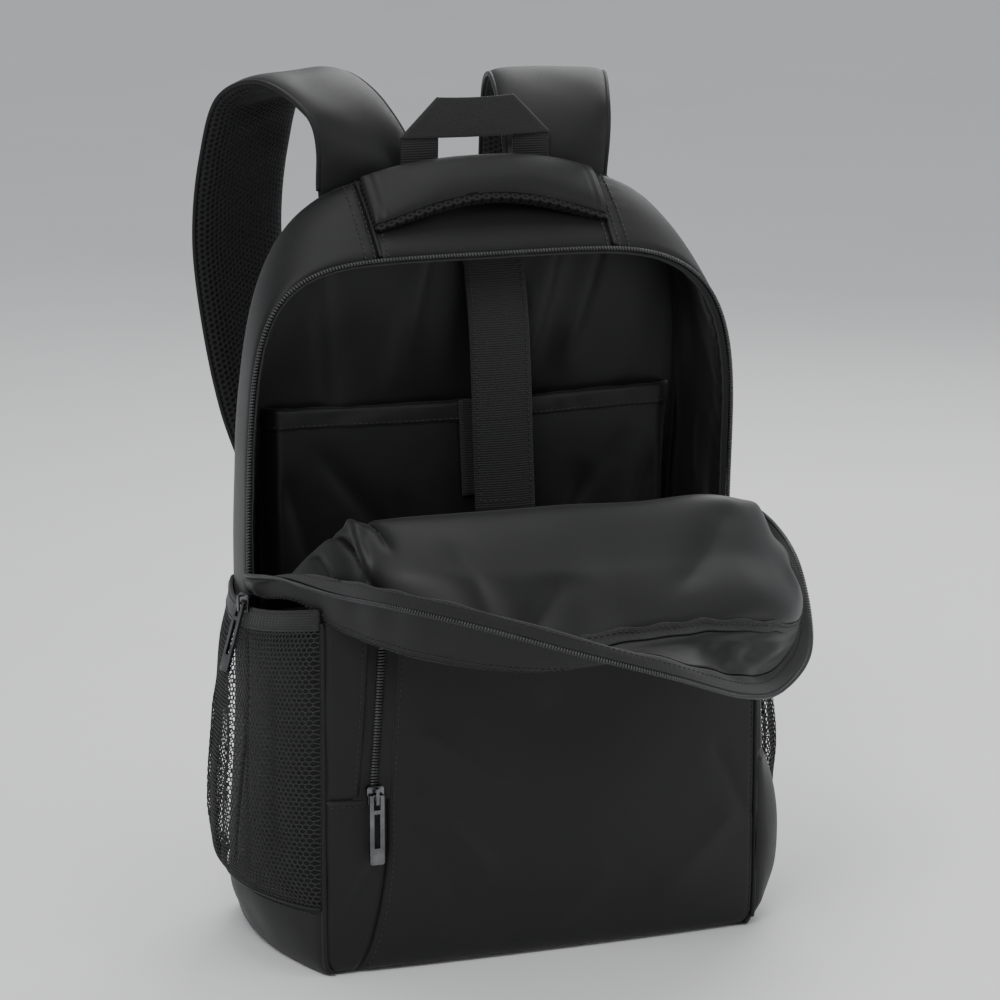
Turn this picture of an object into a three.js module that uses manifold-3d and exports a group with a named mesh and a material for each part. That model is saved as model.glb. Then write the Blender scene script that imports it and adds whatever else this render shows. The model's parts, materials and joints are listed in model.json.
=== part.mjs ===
// Laptop backpack, opened: a soft daypack whose zipped front is folded forward.
// Millimetres, +Z up. X is to the right seen from the front, and the front faces -Y.
// The origin is the middle of the underside, which stands on a flat surface.
import * as THREE from 'three';
import Module from 'manifold-3d';
import { mergeVertices } from 'three/addons/utils/BufferGeometryUtils.js';

const wasm = await Module();
wasm.setup();

// Body
const halfWidth = 157;          // middle of the depth, where the bag is widest
const backY = 80;               // back face, low down
const frontY = -76;             // front face at its side seams
const rimY = 14;                // zip line on the sides
const rimHeight = 417;          // zip line, at the middle of the top
const topHeight = 460;          // back seam, at the middle of the top
const shoulderHeight = 228;     // the sides are straight below this height
const backLean = 32;            // the back leans forward by this much at the top
const seamX = 75;               // the two seams across the top, at the ends of the handle
const baseBand = 42;            // height of the coated lower sides
const edgeRadius = 12;          // rounding between the walls and the underside
const sideSag = 10;             // how far the loaded sides push out just above the base
const sideWallTop = 212;        // side walls before the zip, at the front
const sideWallTopBack = 206;    // and at the zip

// Cloth and clearances
const cloth = 2.2;
const liningCloth = 1;
const backPadding = 10;
const seamGap = 0.35;           // between two pieces that are sewn edge to edge
const layerGap = 0.4;           // between two layers that lie on each other

// Opened front
const flapReach = 132;          // how far the opened front reaches past the front face
const crestHeight = 275;        // where it bends over forward
const zipTapeWidth = 8;
const toothSize = 2.4;

// Front pocket
const pocketBulge = 11;
const pocketTop = 246;
const pocketCornerTop = 204;     // its top at the outer corners
const pocketCornerX = 128;       // where the top starts to rise from them
const dividerTop = 203;          // wall behind the pocket
const pocketDepth = 12;         // room between the pocket and the wall behind it
const pocketZipX = -105;
const pocketZipWidth = 17;
const pocketZipTop = 206;
const pocketZipBottom = 109;
const frontRightX = 140;

// Side pockets
const sidePocketTop = 212;
const sidePocketDrop = 13;      // the open edge sags by this much
const sidePocketBulge = 21;
const sidePocketBand = 11;
const meshCloth = 1.6;
const bandFold = 0.3;            // the band stands out on both faces of the net

// Laptop sleeve and its tie
const sleeveTop = 317;
const sleeveY = 48;
const sleeveHalfWidth = 133;
const sleeveBinding = 10;
const tieWidth = 38;
const tieBottom = 250;
const tieCloth = 1.6;

// Handle and hanging loop on the top
const handleWidth = 42;
const handleThickness = 8;
const handleFrontShare = 0.4;    // how far its front edge still reaches in the middle
const handleRise = 14;
const webbingWidth = 25;
const webbingThickness = 1.8;
const hangLoopSpan = 95;
const hangLoopHeight = 52;

// Shoulder straps
const strapXLeft = 65;          // middle of each strap at the top seam
const strapXRight = 57;
const strapWidth = 73;
const strapPadding = 7;
const strapSplayLeft = 28;      // degrees outward
const strapSplayRight = 15;
const strapReach = 113;         // how far the strap arcs out behind the top seam
const strapRiseLeft = 60;       // how far it arcs above the top seam
const strapRiseRight = 55;
const strapEndHeight = 172;
const anchorX = 118;
const anchorHeight = 30;
const strapWebbing = 25;
const buckleLength = 30;

// Zip pulls
const pullLength = 42;
const mainPullTurn = 78;        // degrees that the main zip's slider is turned to the side
const pullWidth = 9;
const pullThickness = 1.8;
const pinRadius = 1;
const sliderLength = 11;
const sliderWidth = 9;
const sliderThickness = 4;
const bridgeRise = 4.2;

const bag = new THREE.Group();

const finishes = {
  coated: { color: 0x17181a, roughness: 0.55, metalness: 0 },
  lining: { color: 0x2a2b2e, roughness: 0.5, metalness: 0 },
  mesh: { color: 0x0b0b0c, roughness: 0.9, metalness: 0 },
  webbing: { color: 0x121213, roughness: 0.8, metalness: 0 },
  zipTape: { color: 0x0d0d0e, roughness: 0.85, metalness: 0 },
  zipTeeth: { color: 0x1b1b1c, roughness: 0.4, metalness: 0 },
  hardware: { color: 0x8d8f92, roughness: 0.3, metalness: 1 },
  plastic: { color: 0x101011, roughness: 0.45, metalness: 0 },
};

function addPiece(name, geometry, finish) {
  const piece = new THREE.Mesh(geometry, new THREE.MeshStandardMaterial(finishes[finish]));
  piece.name = name;
  bag.add(piece);
  return piece;
}

const mix = (from, to, share) => from + (to - from) * share;
const within = (value, low, high) => Math.min(high, Math.max(low, value));
const smooth = (share) => {
  const s = within(share, 0, 1);
  return s * s * (3 - 2 * s);
};

// Reads one column of a table at a place between its rows, on a smooth curve.
function readTable(rows, byColumn, column, value) {
  const last = rows.length - 1;
  const at = within(value, rows[0][byColumn], rows[last][byColumn]);
  let index = 0;
  while (index < last - 1 && rows[index + 1][byColumn] < at) {
    index += 1;
  }
  const start = rows[index];
  const end = rows[index + 1];
  const span = end[byColumn] - start[byColumn];
  const share = (at - start[byColumn]) / span;
  const slopeAt = (middle) => {
    const low = rows[Math.max(0, middle - 1)];
    const high = rows[Math.min(last, middle + 1)];
    return (high[column] - low[column]) / (high[byColumn] - low[byColumn]) * span;
  };
  const s2 = share * share;
  const s3 = s2 * share;
  return (2 * s3 - 3 * s2 + 1) * start[column] + (s3 - 2 * s2 + share) * slopeAt(index)
    + (3 * s2 - 2 * s3) * end[column] + (s3 - s2) * slopeAt(index + 1);
}

// A closed solid from a list of points and faces, turned to face outward.
function solidFrom(points, faces) {
  let volume = 0;
  for (const [a, b, c] of faces) {
    volume += points[a].dot(new THREE.Vector3().crossVectors(points[b], points[c]));
  }
  const turned = volume < 0 ? faces.map(([a, b, c]) => [a, c, b]) : faces;
  const geometry = new THREE.BufferGeometry();
  geometry.setAttribute('position', new THREE.Float32BufferAttribute(
    points.flatMap((point) => [point.x, point.y, point.z]), 3));
  geometry.setIndex(turned.flat());
  geometry.computeVertexNormals();
  return geometry;
}

// A wall of cloth on the surface place(across, along), from one height above it to another.
function clothWall(place, acrossSteps, alongSteps, low, high, sharedNormal) {
  const grid = [];
  for (let j = 0; j <= alongSteps; j += 1) {
    const row = [];
    for (let i = 0; i <= acrossSteps; i += 1) {
      row.push(place(i / acrossSteps, j / alongSteps));
    }
    grid.push(row);
  }
  const normalAt = (i, j) => {
    if (sharedNormal) return sharedNormal(i / acrossSteps, j / alongSteps);
    const acrossWay = grid[j][Math.min(i + 1, acrossSteps)].clone().sub(grid[j][Math.max(i - 1, 0)]);
    const alongWay = grid[Math.min(j + 1, alongSteps)][i].clone().sub(grid[Math.max(j - 1, 0)][i]);
    return acrossWay.cross(alongWay).normalize();
  };
  const points = [];
  for (const height of [low, high]) {
    for (let j = 0; j <= alongSteps; j += 1) {
      for (let i = 0; i <= acrossSteps; i += 1) {
        const lift = typeof height === 'function' ? height(i / acrossSteps, j / alongSteps) : height;
        points.push(grid[j][i].clone().addScaledVector(normalAt(i, j), lift));
      }
    }
  }
  const wide = acrossSteps + 1;
  const layer = wide * (alongSteps + 1);
  const faces = [];
  const addQuad = (a, b, c, d) => faces.push([a, b, c], [a, c, d]);
  for (let j = 0; j < alongSteps; j += 1) {
    for (let i = 0; i < acrossSteps; i += 1) {
      const corner = j * wide + i;
      addQuad(corner, corner + wide, corner + wide + 1, corner + 1);
      addQuad(layer + corner, layer + corner + 1, layer + corner + wide + 1, layer + corner + wide);
    }
  }
  const border = [];
  for (let i = 0; i < acrossSteps; i += 1) border.push(i);
  for (let j = 0; j < alongSteps; j += 1) border.push(j * wide + acrossSteps);
  for (let i = acrossSteps; i > 0; i -= 1) border.push(alongSteps * wide + i);
  for (let j = alongSteps; j > 0; j -= 1) border.push(j * wide);
  border.forEach((from, index) => {
    const to = border[(index + 1) % border.length];
    addQuad(from, to, to + layer, from + layer);
  });
  return solidFrom(points, faces);
}

// A solid through a row of closed sections that all have as many points.
function loftSections(sections) {
  const count = sections[0].length;
  const points = sections.flat();
  const faces = [];
  for (let j = 0; j < sections.length - 1; j += 1) {
    for (let i = 0; i < count; i += 1) {
      const next = (i + 1) % count;
      const a = j * count + i;
      const b = j * count + next;
      faces.push([a, b, b + count], [a, b + count, a + count]);
    }
  }
  const lastRow = (sections.length - 1) * count;
  for (let i = 1; i < count - 1; i += 1) {
    faces.push([0, i + 1, i], [lastRow, lastRow + i, lastRow + i + 1]);
  }
  return solidFrom(points, faces);
}

function toManifold(geometry) {
  const bare = geometry.clone();
  bare.deleteAttribute('normal');
  if (bare.hasAttribute('uv')) bare.deleteAttribute('uv');
  const merged = mergeVertices(bare, 1e-4);
  return new wasm.Manifold(new wasm.Mesh({
    numProp: 3,
    vertProperties: new Float32Array(merged.getAttribute('position').array),
    triVerts: new Uint32Array(merged.getIndex().array),
  }));
}

function fromManifold(solid) {
  const mesh = solid.getMesh();
  const geometry = new THREE.BufferGeometry();
  geometry.setAttribute('position', new THREE.BufferAttribute(mesh.vertProperties, 3));
  geometry.setIndex(new THREE.BufferAttribute(mesh.triVerts, 1));
  return geometry;
}

const point = (x, y, z) => new THREE.Vector3(x, y, z);

// Shape of the body

// Half-width of the body along its depth: 0 at the front, 1 at the back.
const widthTable = [
  { depth: 0, share: 0.885 },
  { depth: 0.05, share: 0.907 },
  { depth: 0.17, share: 0.945 },
  { depth: 0.36, share: 0.985 },
  { depth: 0.58, share: 1 },
  { depth: 0.78, share: 0.982 },
  { depth: 0.92, share: 0.95 },
  { depth: 1, share: 0.918 },
];

const depthShare = (y) => within((y - frontY) / (backY - frontY), 0, 1);
const bodyHalfWidth = (y) => halfWidth * readTable(widthTable, 'depth', 'share', depthShare(y));

// The walls turn in under the bag with a rounded edge.
function edgeInset(z) {
  const below = within((edgeRadius - z) / edgeRadius, 0, 1);
  return edgeRadius * 0.6 * (1 - Math.sqrt(1 - below * below * 0.96));
}

// What is carried low down pushes the sides out a little above the base.
const sideSagAt = (y, z) => (
  sideSag * smooth(z / 34) * (1 - smooth((z - baseBand) / 120)) * Math.sin(Math.PI * depthShare(y)) ** 0.8);
const sideX = (y, z) => bodyHalfWidth(y) - edgeInset(z) + sideSagAt(y, z);

const rimYAt = (z) => rimY * (1 - smooth((z - shoulderHeight) / (rimHeight - shoulderHeight)));
const backYAt = (z) => (
  backY - backLean * smooth((z - shoulderHeight) / (topHeight - shoulderHeight) * 0.92) / smooth(0.92));

// One side of the arch, at a depth that runs 0 at the zip line to 1 at the back.
// The way along it runs 0 at the underside to 1 at the middle of the top.
const archSide = 0.42;
function archPoint(side, depth, along) {
  const squareness = mix(side < 0 ? 5.6 : 4.5, 4.3, depth);
  const puff = Math.sin(Math.PI * depth) * 3;
  const height = mix(rimHeight, topHeight, depth) + puff - shoulderHeight;
  let z;
  let widthShare = 1;
  if (along <= archSide) {
    z = shoulderHeight * along / archSide;
  } else {
    const angle = (along - archSide) / (1 - archSide) * Math.PI / 2;
    const reach = (Math.cos(angle) ** squareness + Math.sin(angle) ** squareness) ** (-1 / squareness);
    z = shoulderHeight + height * Math.sin(angle) * reach;
    widthShare = Math.cos(angle) * reach;
  }
  const lowY = mix(rimY, backY, depth);
  const y = mix(rimYAt(z), backYAt(z), depth);
  const x = side * sideX(lowY, z) * widthShare;
  return point(x, y, z);
}

// The way along the arch where it passes a height on the side, or the seam on the top.
const alongAtHeight = (z) => archSide * z / shoulderHeight;
function alongAtSeam(side, depth, x) {
  let low = archSide;
  let high = 1;
  for (let step = 0; step < 30; step += 1) {
    const middle = (low + high) / 2;
    if (Math.abs(archPoint(side, depth, middle).x) > x) low = middle;
    else high = middle;
  }
  return (low + high) / 2;
}

// A point on the whole arch from the left underside (0) over the top (0.5) to the right one (1).
const wholeArch = (depth, way) => (
  way <= 0.5 ? archPoint(-1, depth, way * 2) : archPoint(1, depth, 2 - way * 2));

const zipEndHeight = 222;       // where the zip leaves the rim on both sides
const rimStart = alongAtHeight(zipEndHeight) / 2;

// Coated walls behind the zip: two sides, and the top between its two seams
function rearSide(side, depth, up) {
  const low = alongAtHeight(baseBand + seamGap);
  const high = alongAtSeam(side, depth, seamX + seamGap / 2);
  return archPoint(side, depth, mix(low, high, up));
}
function rearTop(depth, across) {
  const left = alongAtSeam(-1, depth, seamX - seamGap / 2) / 2;
  const right = 1 - alongAtSeam(1, depth, seamX - seamGap / 2) / 2;
  return wholeArch(depth, mix(left, right, across));
}
addPiece('gusset_left', clothWall((depth, up) => rearSide(-1, depth, up), 3, 16, 0, cloth), 'coated');
addPiece('gusset_right', clothWall((depth, up) => rearSide(1, 1 - depth, up), 3, 16, 0, cloth), 'coated');
addPiece('gusset_top', clothWall(rearTop, 3, 8, 0, cloth), 'coated');

// Lining of the walls behind the zip, as one band
const liningInset = cloth + layerGap + 1.8;
const liningStart = alongAtHeight(5) / 2;
addPiece('wall_lining', clothWall((depth, way) => (
  wholeArch(mix(0.16, 0.78, depth), mix(liningStart, 1 - liningStart, way))
), 2, 32, liningInset, liningInset + liningCloth), 'lining');

// Padded back and the lining before it. Across runs -1 to 1, up 0 to 1.
function backShape(across, up, inset) {
  const topWay = 0.8;
  const way = mix(alongAtHeight(0.5), topWay, up);
  const end = archPoint(1, 1, way);
  const halfSpan = end.x - inset;
  const squareness = 4.3;
  const height = topHeight - shoulderHeight;
  const archZ = (x) => (
    shoulderHeight + height
      * within(1 - Math.abs(x / bodyHalfWidth(backY)) ** squareness, 0, 1) ** (1 / squareness));
  const lowerEdge = inset * up ** 9;
  const z = end.z + (archZ(across * end.x) - archZ(end.x)) * up ** 3 - lowerEdge;
  return point(across * halfSpan, backYAt(z) - edgeInset(z), z);
}
const backInset = cloth + layerGap + 2;
const backCrown = (across, up) => (
  2.5 * Math.sin(Math.PI * across) * Math.sin(Math.PI * within(up, 0.02, 0.98)));
const thinAtTop = (up) => 1 - 0.75 * smooth((up - 0.7) / 0.3);
const backStops = [0, 0.024, 0.07, 0.13, 0.2, 0.29, 0.39, 0.5, 0.61, 0.72, 0.83, 0.93, 1];
const backRow = (u, first, last) => backStops[Math.round(mix(first, last, u))];
addPiece('back_panel', clothWall((a, u) => backShape(2 * a - 1, backRow(u, 0, 12), backInset), 8, 12,
  (a, u) => backPadding * thinAtTop(backRow(u, 0, 12)), (a, u) => -backCrown(a, u)), 'coated');
const backLiningInset = liningInset + liningCloth + 2.6;
const backLiningLift = (u) => backPadding * thinAtTop(backRow(u, 1, 10)) + 1;
addPiece('back_lining', clothWall((a, u) => backShape(2 * a - 1, backRow(u, 1, 10), backLiningInset), 8, 9,
  (a, u) => backLiningLift(u), (a, u) => backLiningLift(u) + liningCloth), 'lining');

// Coated lower sides, floor, and the side walls before the zip
const sideAt = (side, y, z) => point(side * sideX(y, z), y, z);
function sideTop(y) {
  return mix(sideWallTop, sideWallTopBack, smooth((y - frontY) / (rimY - frontY)));
}
for (const [side, name] of [[-1, 'left'], [1, 'right']]) {
  const turn = (share) => (side < 0 ? share : 1 - share);
  addPiece(`base_side_${name}`, clothWall((d, u) => (
    sideAt(side, mix(frontY + 0.4, backY - 1, turn(d)), mix(0.4, baseBand, u ** 1.6))
  ), 8, 4, 0, cloth), 'coated');
  addPiece(`side_wall_${name}`, clothWall((d, u) => {
    const y = mix(frontY + 0.4, rimY - seamGap * 2, turn(d));
    return sideAt(side, y, mix(baseBand + seamGap, sideTop(y), u));
  }, 5, 4, 0, cloth), 'coated');
}
const floorFront = frontY + 9;
const floorBack = backY - backPadding - 5;
const floorInset = edgeInset(0.4) + cloth + layerGap;
const floorShape = new THREE.Shape();
const floorSteps = 8;
for (const side of [-1, 1]) {
  for (let step = 0; step <= floorSteps; step += 1) {
    const y = mix(floorFront, floorBack, side < 0 ? step / floorSteps : 1 - step / floorSteps);
    const x = side * (bodyHalfWidth(y) - floorInset);
    if (side < 0 && step === 0) floorShape.moveTo(x, y);
    else floorShape.lineTo(x, y);
  }
}
floorShape.closePath();
addPiece('base_floor', new THREE.ExtrudeGeometry(floorShape, { depth: 2.6, bevelEnabled: false }), 'coated');

// Front pocket. Its face bulges, and its edges turn back at the top and underneath.
function pocketY(x, z) {
  const acrossShare = within(1 - Math.abs(x / frontRightX) ** 2.6, 0, 1);
  const upShare = 0.35 + 0.65 * smooth(z / 60) * smooth((pocketTop + 30 - z) / 90);
  const topTurn = within((z - (pocketTop - 14)) / 14, 0, 1);
  const topInset = 5 * (1 - Math.sqrt(1 - topTurn * topTurn * 0.98));
  return frontY - pocketBulge * acrossShare * upShare + edgeInset(z) + topInset;
}
const pocketFace = (x, z) => point(x, pocketY(x, z), z);

// Where the panel's left seam runs: along the zip, then out to the lower corner
const seamTable = [
  { height: 0, out: 18 },
  { height: 0.08, out: 9 },
  { height: 0.25, out: 1.5 },
  { height: 0.5, out: 0 },
  { height: 1, out: -2 },
];
const zipShift = (z) => 5 * within((pocketZipTop - z) / (pocketZipTop - pocketZipBottom), 0, 1);
const panelLeftX = (z) => (
  pocketZipX + pocketZipWidth / 2 - zipShift(z) - readTable(seamTable, 'height', 'out', z / pocketTop));
const stripRightX = (z) => panelLeftX(z) - pocketZipWidth - seamGap;
const betweenSides = (z) => sideX(frontY + cloth, z) - cloth - 0.9;
const pocketFloor = 0.5;
const pocketTopAt = (x) => (
  mix(pocketCornerTop, pocketTop, smooth((x + pocketCornerX) / 50) * smooth((halfWidth - x) / 40)));
const stripCornerX = stripRightX(pocketCornerTop);
const panelCornerX = panelLeftX(pocketCornerTop);
addPiece('front_pocket', clothWall((a, u) => {
  const reach = mix(panelLeftX(mix(pocketFloor, pocketTop, u)), frontRightX, a);
  const z = mix(pocketFloor, pocketTopAt(reach), u);
  return pocketFace(mix(panelLeftX(z) + seamGap, betweenSides(z), a), z);
}, 11, 12, -cloth, 0), 'coated');
addPiece('pocket_strip_lower', clothWall((a, u) => {
  const z = mix(pocketFloor, pocketZipBottom - seamGap, u);
  return pocketFace(mix(-betweenSides(z), panelLeftX(z), a), z);
}, 3, 6, -cloth, 0), 'coated');
addPiece('pocket_strip_upper', clothWall((a, u) => {
  const z = mix(pocketZipBottom, mix(pocketCornerTop, pocketTopAt(stripCornerX), a), u);
  return pocketFace(mix(-betweenSides(z), stripRightX(z), a), z);
}, 2, 5, -cloth, 0), 'coated');
addPiece('pocket_zip_tape', clothWall((a, u) => {
  const z = mix(pocketZipBottom, mix(pocketTopAt(stripCornerX), pocketTopAt(panelCornerX), a) - 1, u);
  return pocketFace(mix(stripRightX(z) + seamGap, panelLeftX(z) - 0.3, a), z);
}, 2, 6, -1.6, -0.4), 'zipTape');

// Strip at the pocket's right edge, which wraps on to the side: a fuller lower part and a flat upper one
const rightStripBack = -40;
const rightStripSeam = 106;
function rightStrip(low, high, fullness) {
  return clothWall((d, u) => {
    const z = mix(low, high, u);
    const y = mix(rightStripBack, frontY + 1.5, d);
    const lift = fullness * Math.sin(Math.PI * u) ** 0.8 * Math.sin(Math.PI * mix(0.12, 0.999, d)) ** 0.7;
    return sideAt(1, y, z).add(point(1 + lift, 0, 0));
  }, 4, 5, -cloth, 0);
}
addPiece('pocket_strip_right_lower', rightStrip(8, rightStripSeam, 9), 'coated');
addPiece('pocket_strip_right_upper', rightStrip(rightStripSeam + seamGap * 2, pocketCornerTop - 1, 0), 'coated');

// Wall between the main compartment and the front pocket
const dividerY = frontY + pocketDepth;
addPiece('front_wall', clothWall((a, u) => {
  const z = mix(3.4, dividerTop, u);
  return point(mix(-1, 1, a) * (sideX(dividerY, z) - cloth - 1.6), dividerY, z);
}, 6, 6, -cloth, 0), 'lining');

// Opened front. Each row below runs from the left hinge round the opened edge to the right hinge,
// as shares of the half-width, of the reach past the front face and of the height of the crest.
const flapRows = {
  hem: [
    { x: -0.915, out: -0.62, z: 0.755 }, { x: -0.865, out: -0.52, z: 0.765 }, { x: -0.81, out: -0.34, z: 0.775 },
    { x: -0.73, out: -0.17, z: 0.765 }, { x: -0.6, out: -0.085, z: 0.765 }, { x: -0.38, out: -0.065, z: 0.765 },
    { x: -0.13, out: -0.065, z: 0.765 }, { x: 0.13, out: -0.065, z: 0.765 }, { x: 0.38, out: -0.065, z: 0.765 },
    { x: 0.61, out: -0.075, z: 0.765 }, { x: 0.75, out: -0.1, z: 0.765 }, { x: 0.8, out: -0.22, z: 0.765 },
    { x: 0.82, out: -0.38, z: 0.765 }, { x: 0.885, out: -0.62, z: 0.765 }],
  crest: [
    { x: -0.945, out: -0.62, z: 0.775 }, { x: -0.915, out: -0.48, z: 0.81 }, { x: -0.855, out: -0.27, z: 0.9 },
    { x: -0.755, out: -0.1, z: 0.98 }, { x: -0.61, out: -0.02, z: 1 }, { x: -0.38, out: 0.02, z: 1 },
    { x: -0.13, out: 0.03, z: 1 }, { x: 0.13, out: 0.03, z: 1.004 }, { x: 0.38, out: 0.03, z: 1.004 },
    { x: 0.625, out: 0.015, z: 0.994 }, { x: 0.8, out: -0.02, z: 0.975 }, { x: 0.895, out: -0.11, z: 0.955 },
    { x: 0.895, out: -0.3, z: 0.912 }, { x: 0.93, out: -0.61, z: 0.858 }],
  middle: [
    { x: -0.96, out: -0.635, z: 0.785 }, { x: -0.945, out: -0.465, z: 0.812 }, { x: -0.88, out: -0.22, z: 0.868 },
    { x: -0.78, out: 0.06, z: 0.905 }, { x: -0.64, out: 0.23, z: 0.915 }, { x: -0.42, out: 0.32, z: 0.91 },
    { x: -0.18, out: 0.36, z: 0.9 }, { x: 0.115, out: 0.38, z: 0.9 }, { x: 0.38, out: 0.38, z: 0.9 },
    { x: 0.63, out: 0.34, z: 0.895 }, { x: 0.82, out: 0.22, z: 0.89 }, { x: 0.92, out: 0.03, z: 0.9 },
    { x: 0.928, out: -0.27, z: 0.9 }, { x: 0.947, out: -0.62, z: 0.864 }],
  seam: [
    { x: -0.98, out: -0.65, z: 0.795 }, { x: -0.98, out: -0.46, z: 0.805 }, { x: -0.915, out: -0.2, z: 0.82 },
    { x: -0.835, out: 0.06, z: 0.785 }, { x: -0.71, out: 0.32, z: 0.765 }, { x: -0.495, out: 0.53, z: 0.745 },
    { x: -0.215, out: 0.645, z: 0.735 }, { x: 0.125, out: 0.68, z: 0.76 }, { x: 0.42, out: 0.66, z: 0.775 },
    { x: 0.69, out: 0.565, z: 0.785 }, { x: 0.87, out: 0.38, z: 0.795 }, { x: 0.935, out: 0.12, z: 0.872 },
    { x: 0.948, out: -0.26, z: 0.898 }, { x: 0.962, out: -0.635, z: 0.872 }],
  tape: [
    { x: -1, out: -0.655, z: 0.812 }, { x: -1.015, out: -0.455, z: 0.832 }, { x: -0.945, out: -0.2, z: 0.876 },
    { x: -0.865, out: 0.15, z: 0.9 }, { x: -0.75, out: 0.51, z: 0.91 }, { x: -0.515, out: 0.79, z: 0.89 },
    { x: -0.19, out: 0.93, z: 0.832 }, { x: 0.175, out: 0.93, z: 0.762 }, { x: 0.495, out: 0.785, z: 0.69 },
    { x: 0.725, out: 0.56, z: 0.66 }, { x: 0.91, out: 0.35, z: 0.71 }, { x: 0.967, out: 0.115, z: 0.842 },
    { x: 0.972, out: -0.26, z: 0.905 }, { x: 0.976, out: -0.645, z: 0.876 }],
  teeth: [
    { x: -1.012, out: -0.655, z: 0.828 }, { x: -1.035, out: -0.465, z: 0.846 }, { x: -0.97, out: -0.2, z: 0.87 },
    { x: -0.88, out: 0.18, z: 0.875 }, { x: -0.76, out: 0.55, z: 0.885 }, { x: -0.525, out: 0.825, z: 0.864 },
    { x: -0.19, out: 0.97, z: 0.807 }, { x: 0.175, out: 0.985, z: 0.738 }, { x: 0.51, out: 0.85, z: 0.662 },
    { x: 0.76, out: 0.6, z: 0.635 }, { x: 0.965, out: 0.35, z: 0.69 }, { x: 0.995, out: 0.11, z: 0.843 },
    { x: 0.985, out: -0.26, z: 0.913 }, { x: 0.985, out: -0.65, z: 0.885 }],
};
const flapCurves = Object.fromEntries(Object.entries(flapRows).map(([name, rows]) => [
  name,
  new THREE.CatmullRomCurve3(rows.map((row) => (
    point(row.x * halfWidth, frontY - row.out * flapReach, row.z * crestHeight))), false, 'catmullrom', 0.5),
]));
const flapRowNames = Object.keys(flapRows);

// The opened front's cloth: way runs round its edge, out runs 0 at the inner hem to 1 at the teeth.
function flapPoint(way, out) {
  const across = flapRowNames.map((name) => flapCurves[name].getPoint(way));
  const curve = new THREE.CatmullRomCurve3(across, false, 'centripetal');
  return curve.getPoint(out);
}
const flapStops = [
  0.02, 0.1, 0.2, 0.3, 0.38, 0.46, 0.53, 0.585,   // the panel
  0.612, 0.66, 0.7, 0.738,                        // its edge strip
  0.793, 0.88, 0.985,                             // the zip tape inside the strip's edge
];
const flapWays = 22;
const flapGrid = flapStops.map((stop) => (
  Array.from({ length: flapWays + 1 }, (_, step) => flapPoint(mix(0.012, 0.988, step / flapWays), stop))));
function flapNormal(step, row) {
  const lastRow = flapStops.length - 1;
  const acrossWay = flapGrid[row][Math.min(step + 1, flapWays)].clone().sub(flapGrid[row][Math.max(step - 1, 0)]);
  const alongWay = flapGrid[Math.min(row + 1, lastRow)][step].clone().sub(flapGrid[Math.max(row - 1, 0)][step]);
  return acrossWay.cross(alongWay).normalize();
}
function flapPart(from, to, low, high) {
  const stepAt = (way) => Math.round(way * flapWays);
  const rowAt = (out) => Math.round(mix(from, to, out));
  return clothWall((way, out) => flapGrid[rowAt(out)][stepAt(way)], flapWays, to - from, low, high,
    (way, out) => flapNormal(stepAt(way), rowAt(out)));
}
const flapHalfGap = 0.85;
addPiece('flap_lining', flapPart(0, 11, -flapHalfGap - liningCloth, -flapHalfGap), 'lining');
addPiece('flap_shell', flapPart(0, 7, flapHalfGap, flapHalfGap + cloth), 'coated');
addPiece('flap_edge', flapPart(8, 14, flapHalfGap, flapHalfGap + cloth * 0.7), 'coated');
addPiece('flap_zip_tape', flapPart(12, 14, -flapHalfGap - liningCloth, -flapHalfGap), 'zipTape');

// A square cord that follows a curve, for a row of zip teeth
function teethAlong(curve, steps) {
  const section = new THREE.Shape();
  const half = toothSize / 2;
  section.moveTo(-half, -half);
  section.lineTo(half, -half);
  section.lineTo(half, half);
  section.lineTo(-half, half);
  section.closePath();
  return new THREE.ExtrudeGeometry(section, { steps, extrudePath: curve, bevelEnabled: false });
}
const flapTeethPoints = [];
for (let step = 0; step <= 24; step += 1) {
  const way = mix(0.03, 0.98, step / 24);
  const edge = flapPoint(way, 1);
  const inward = flapPoint(way, 0.93);
  flapTeethPoints.push(edge.clone().add(edge.clone().sub(inward).setLength(toothSize * 1.2)));
}
addPiece('flap_zip_teeth', teethAlong(new THREE.CatmullRomCurve3(flapTeethPoints), 32), 'zipTeeth');

// Zip round the rim: the teeth are on the edge of the walls, and the tape turns in behind them.
function rimPoint(way, inset, back) {
  const edge = wholeArch(0, mix(rimStart, 1 - rimStart, way));
  const centre = point(0, edge.y, Math.min(edge.z, shoulderHeight + 60));
  return edge.clone().add(centre.sub(edge).setLength(inset)).add(point(0, back, 0));
}
const rimTapeInset = cloth + layerGap + 2;
const rimTape = (way, back) => (
  rimPoint(way, rimTapeInset - 0.8 * (1 - smooth(back * 4)), mix(-toothSize * 0.7, zipTapeWidth, back)));
addPiece('rim_zip_tape', clothWall(rimTape, 32, 2, -0.5, 0.5), 'zipTape');
const rimTeethPoints = [];
for (let step = 0; step <= 30; step += 1) {
  rimTeethPoints.push(rimPoint(mix(0.03, 0.97, step / 30), cloth * 0.3, -toothSize * 1.1));
}
addPiece('rim_zip_teeth', teethAlong(new THREE.CatmullRomCurve3(rimTeethPoints), 36), 'zipTeeth');

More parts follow.
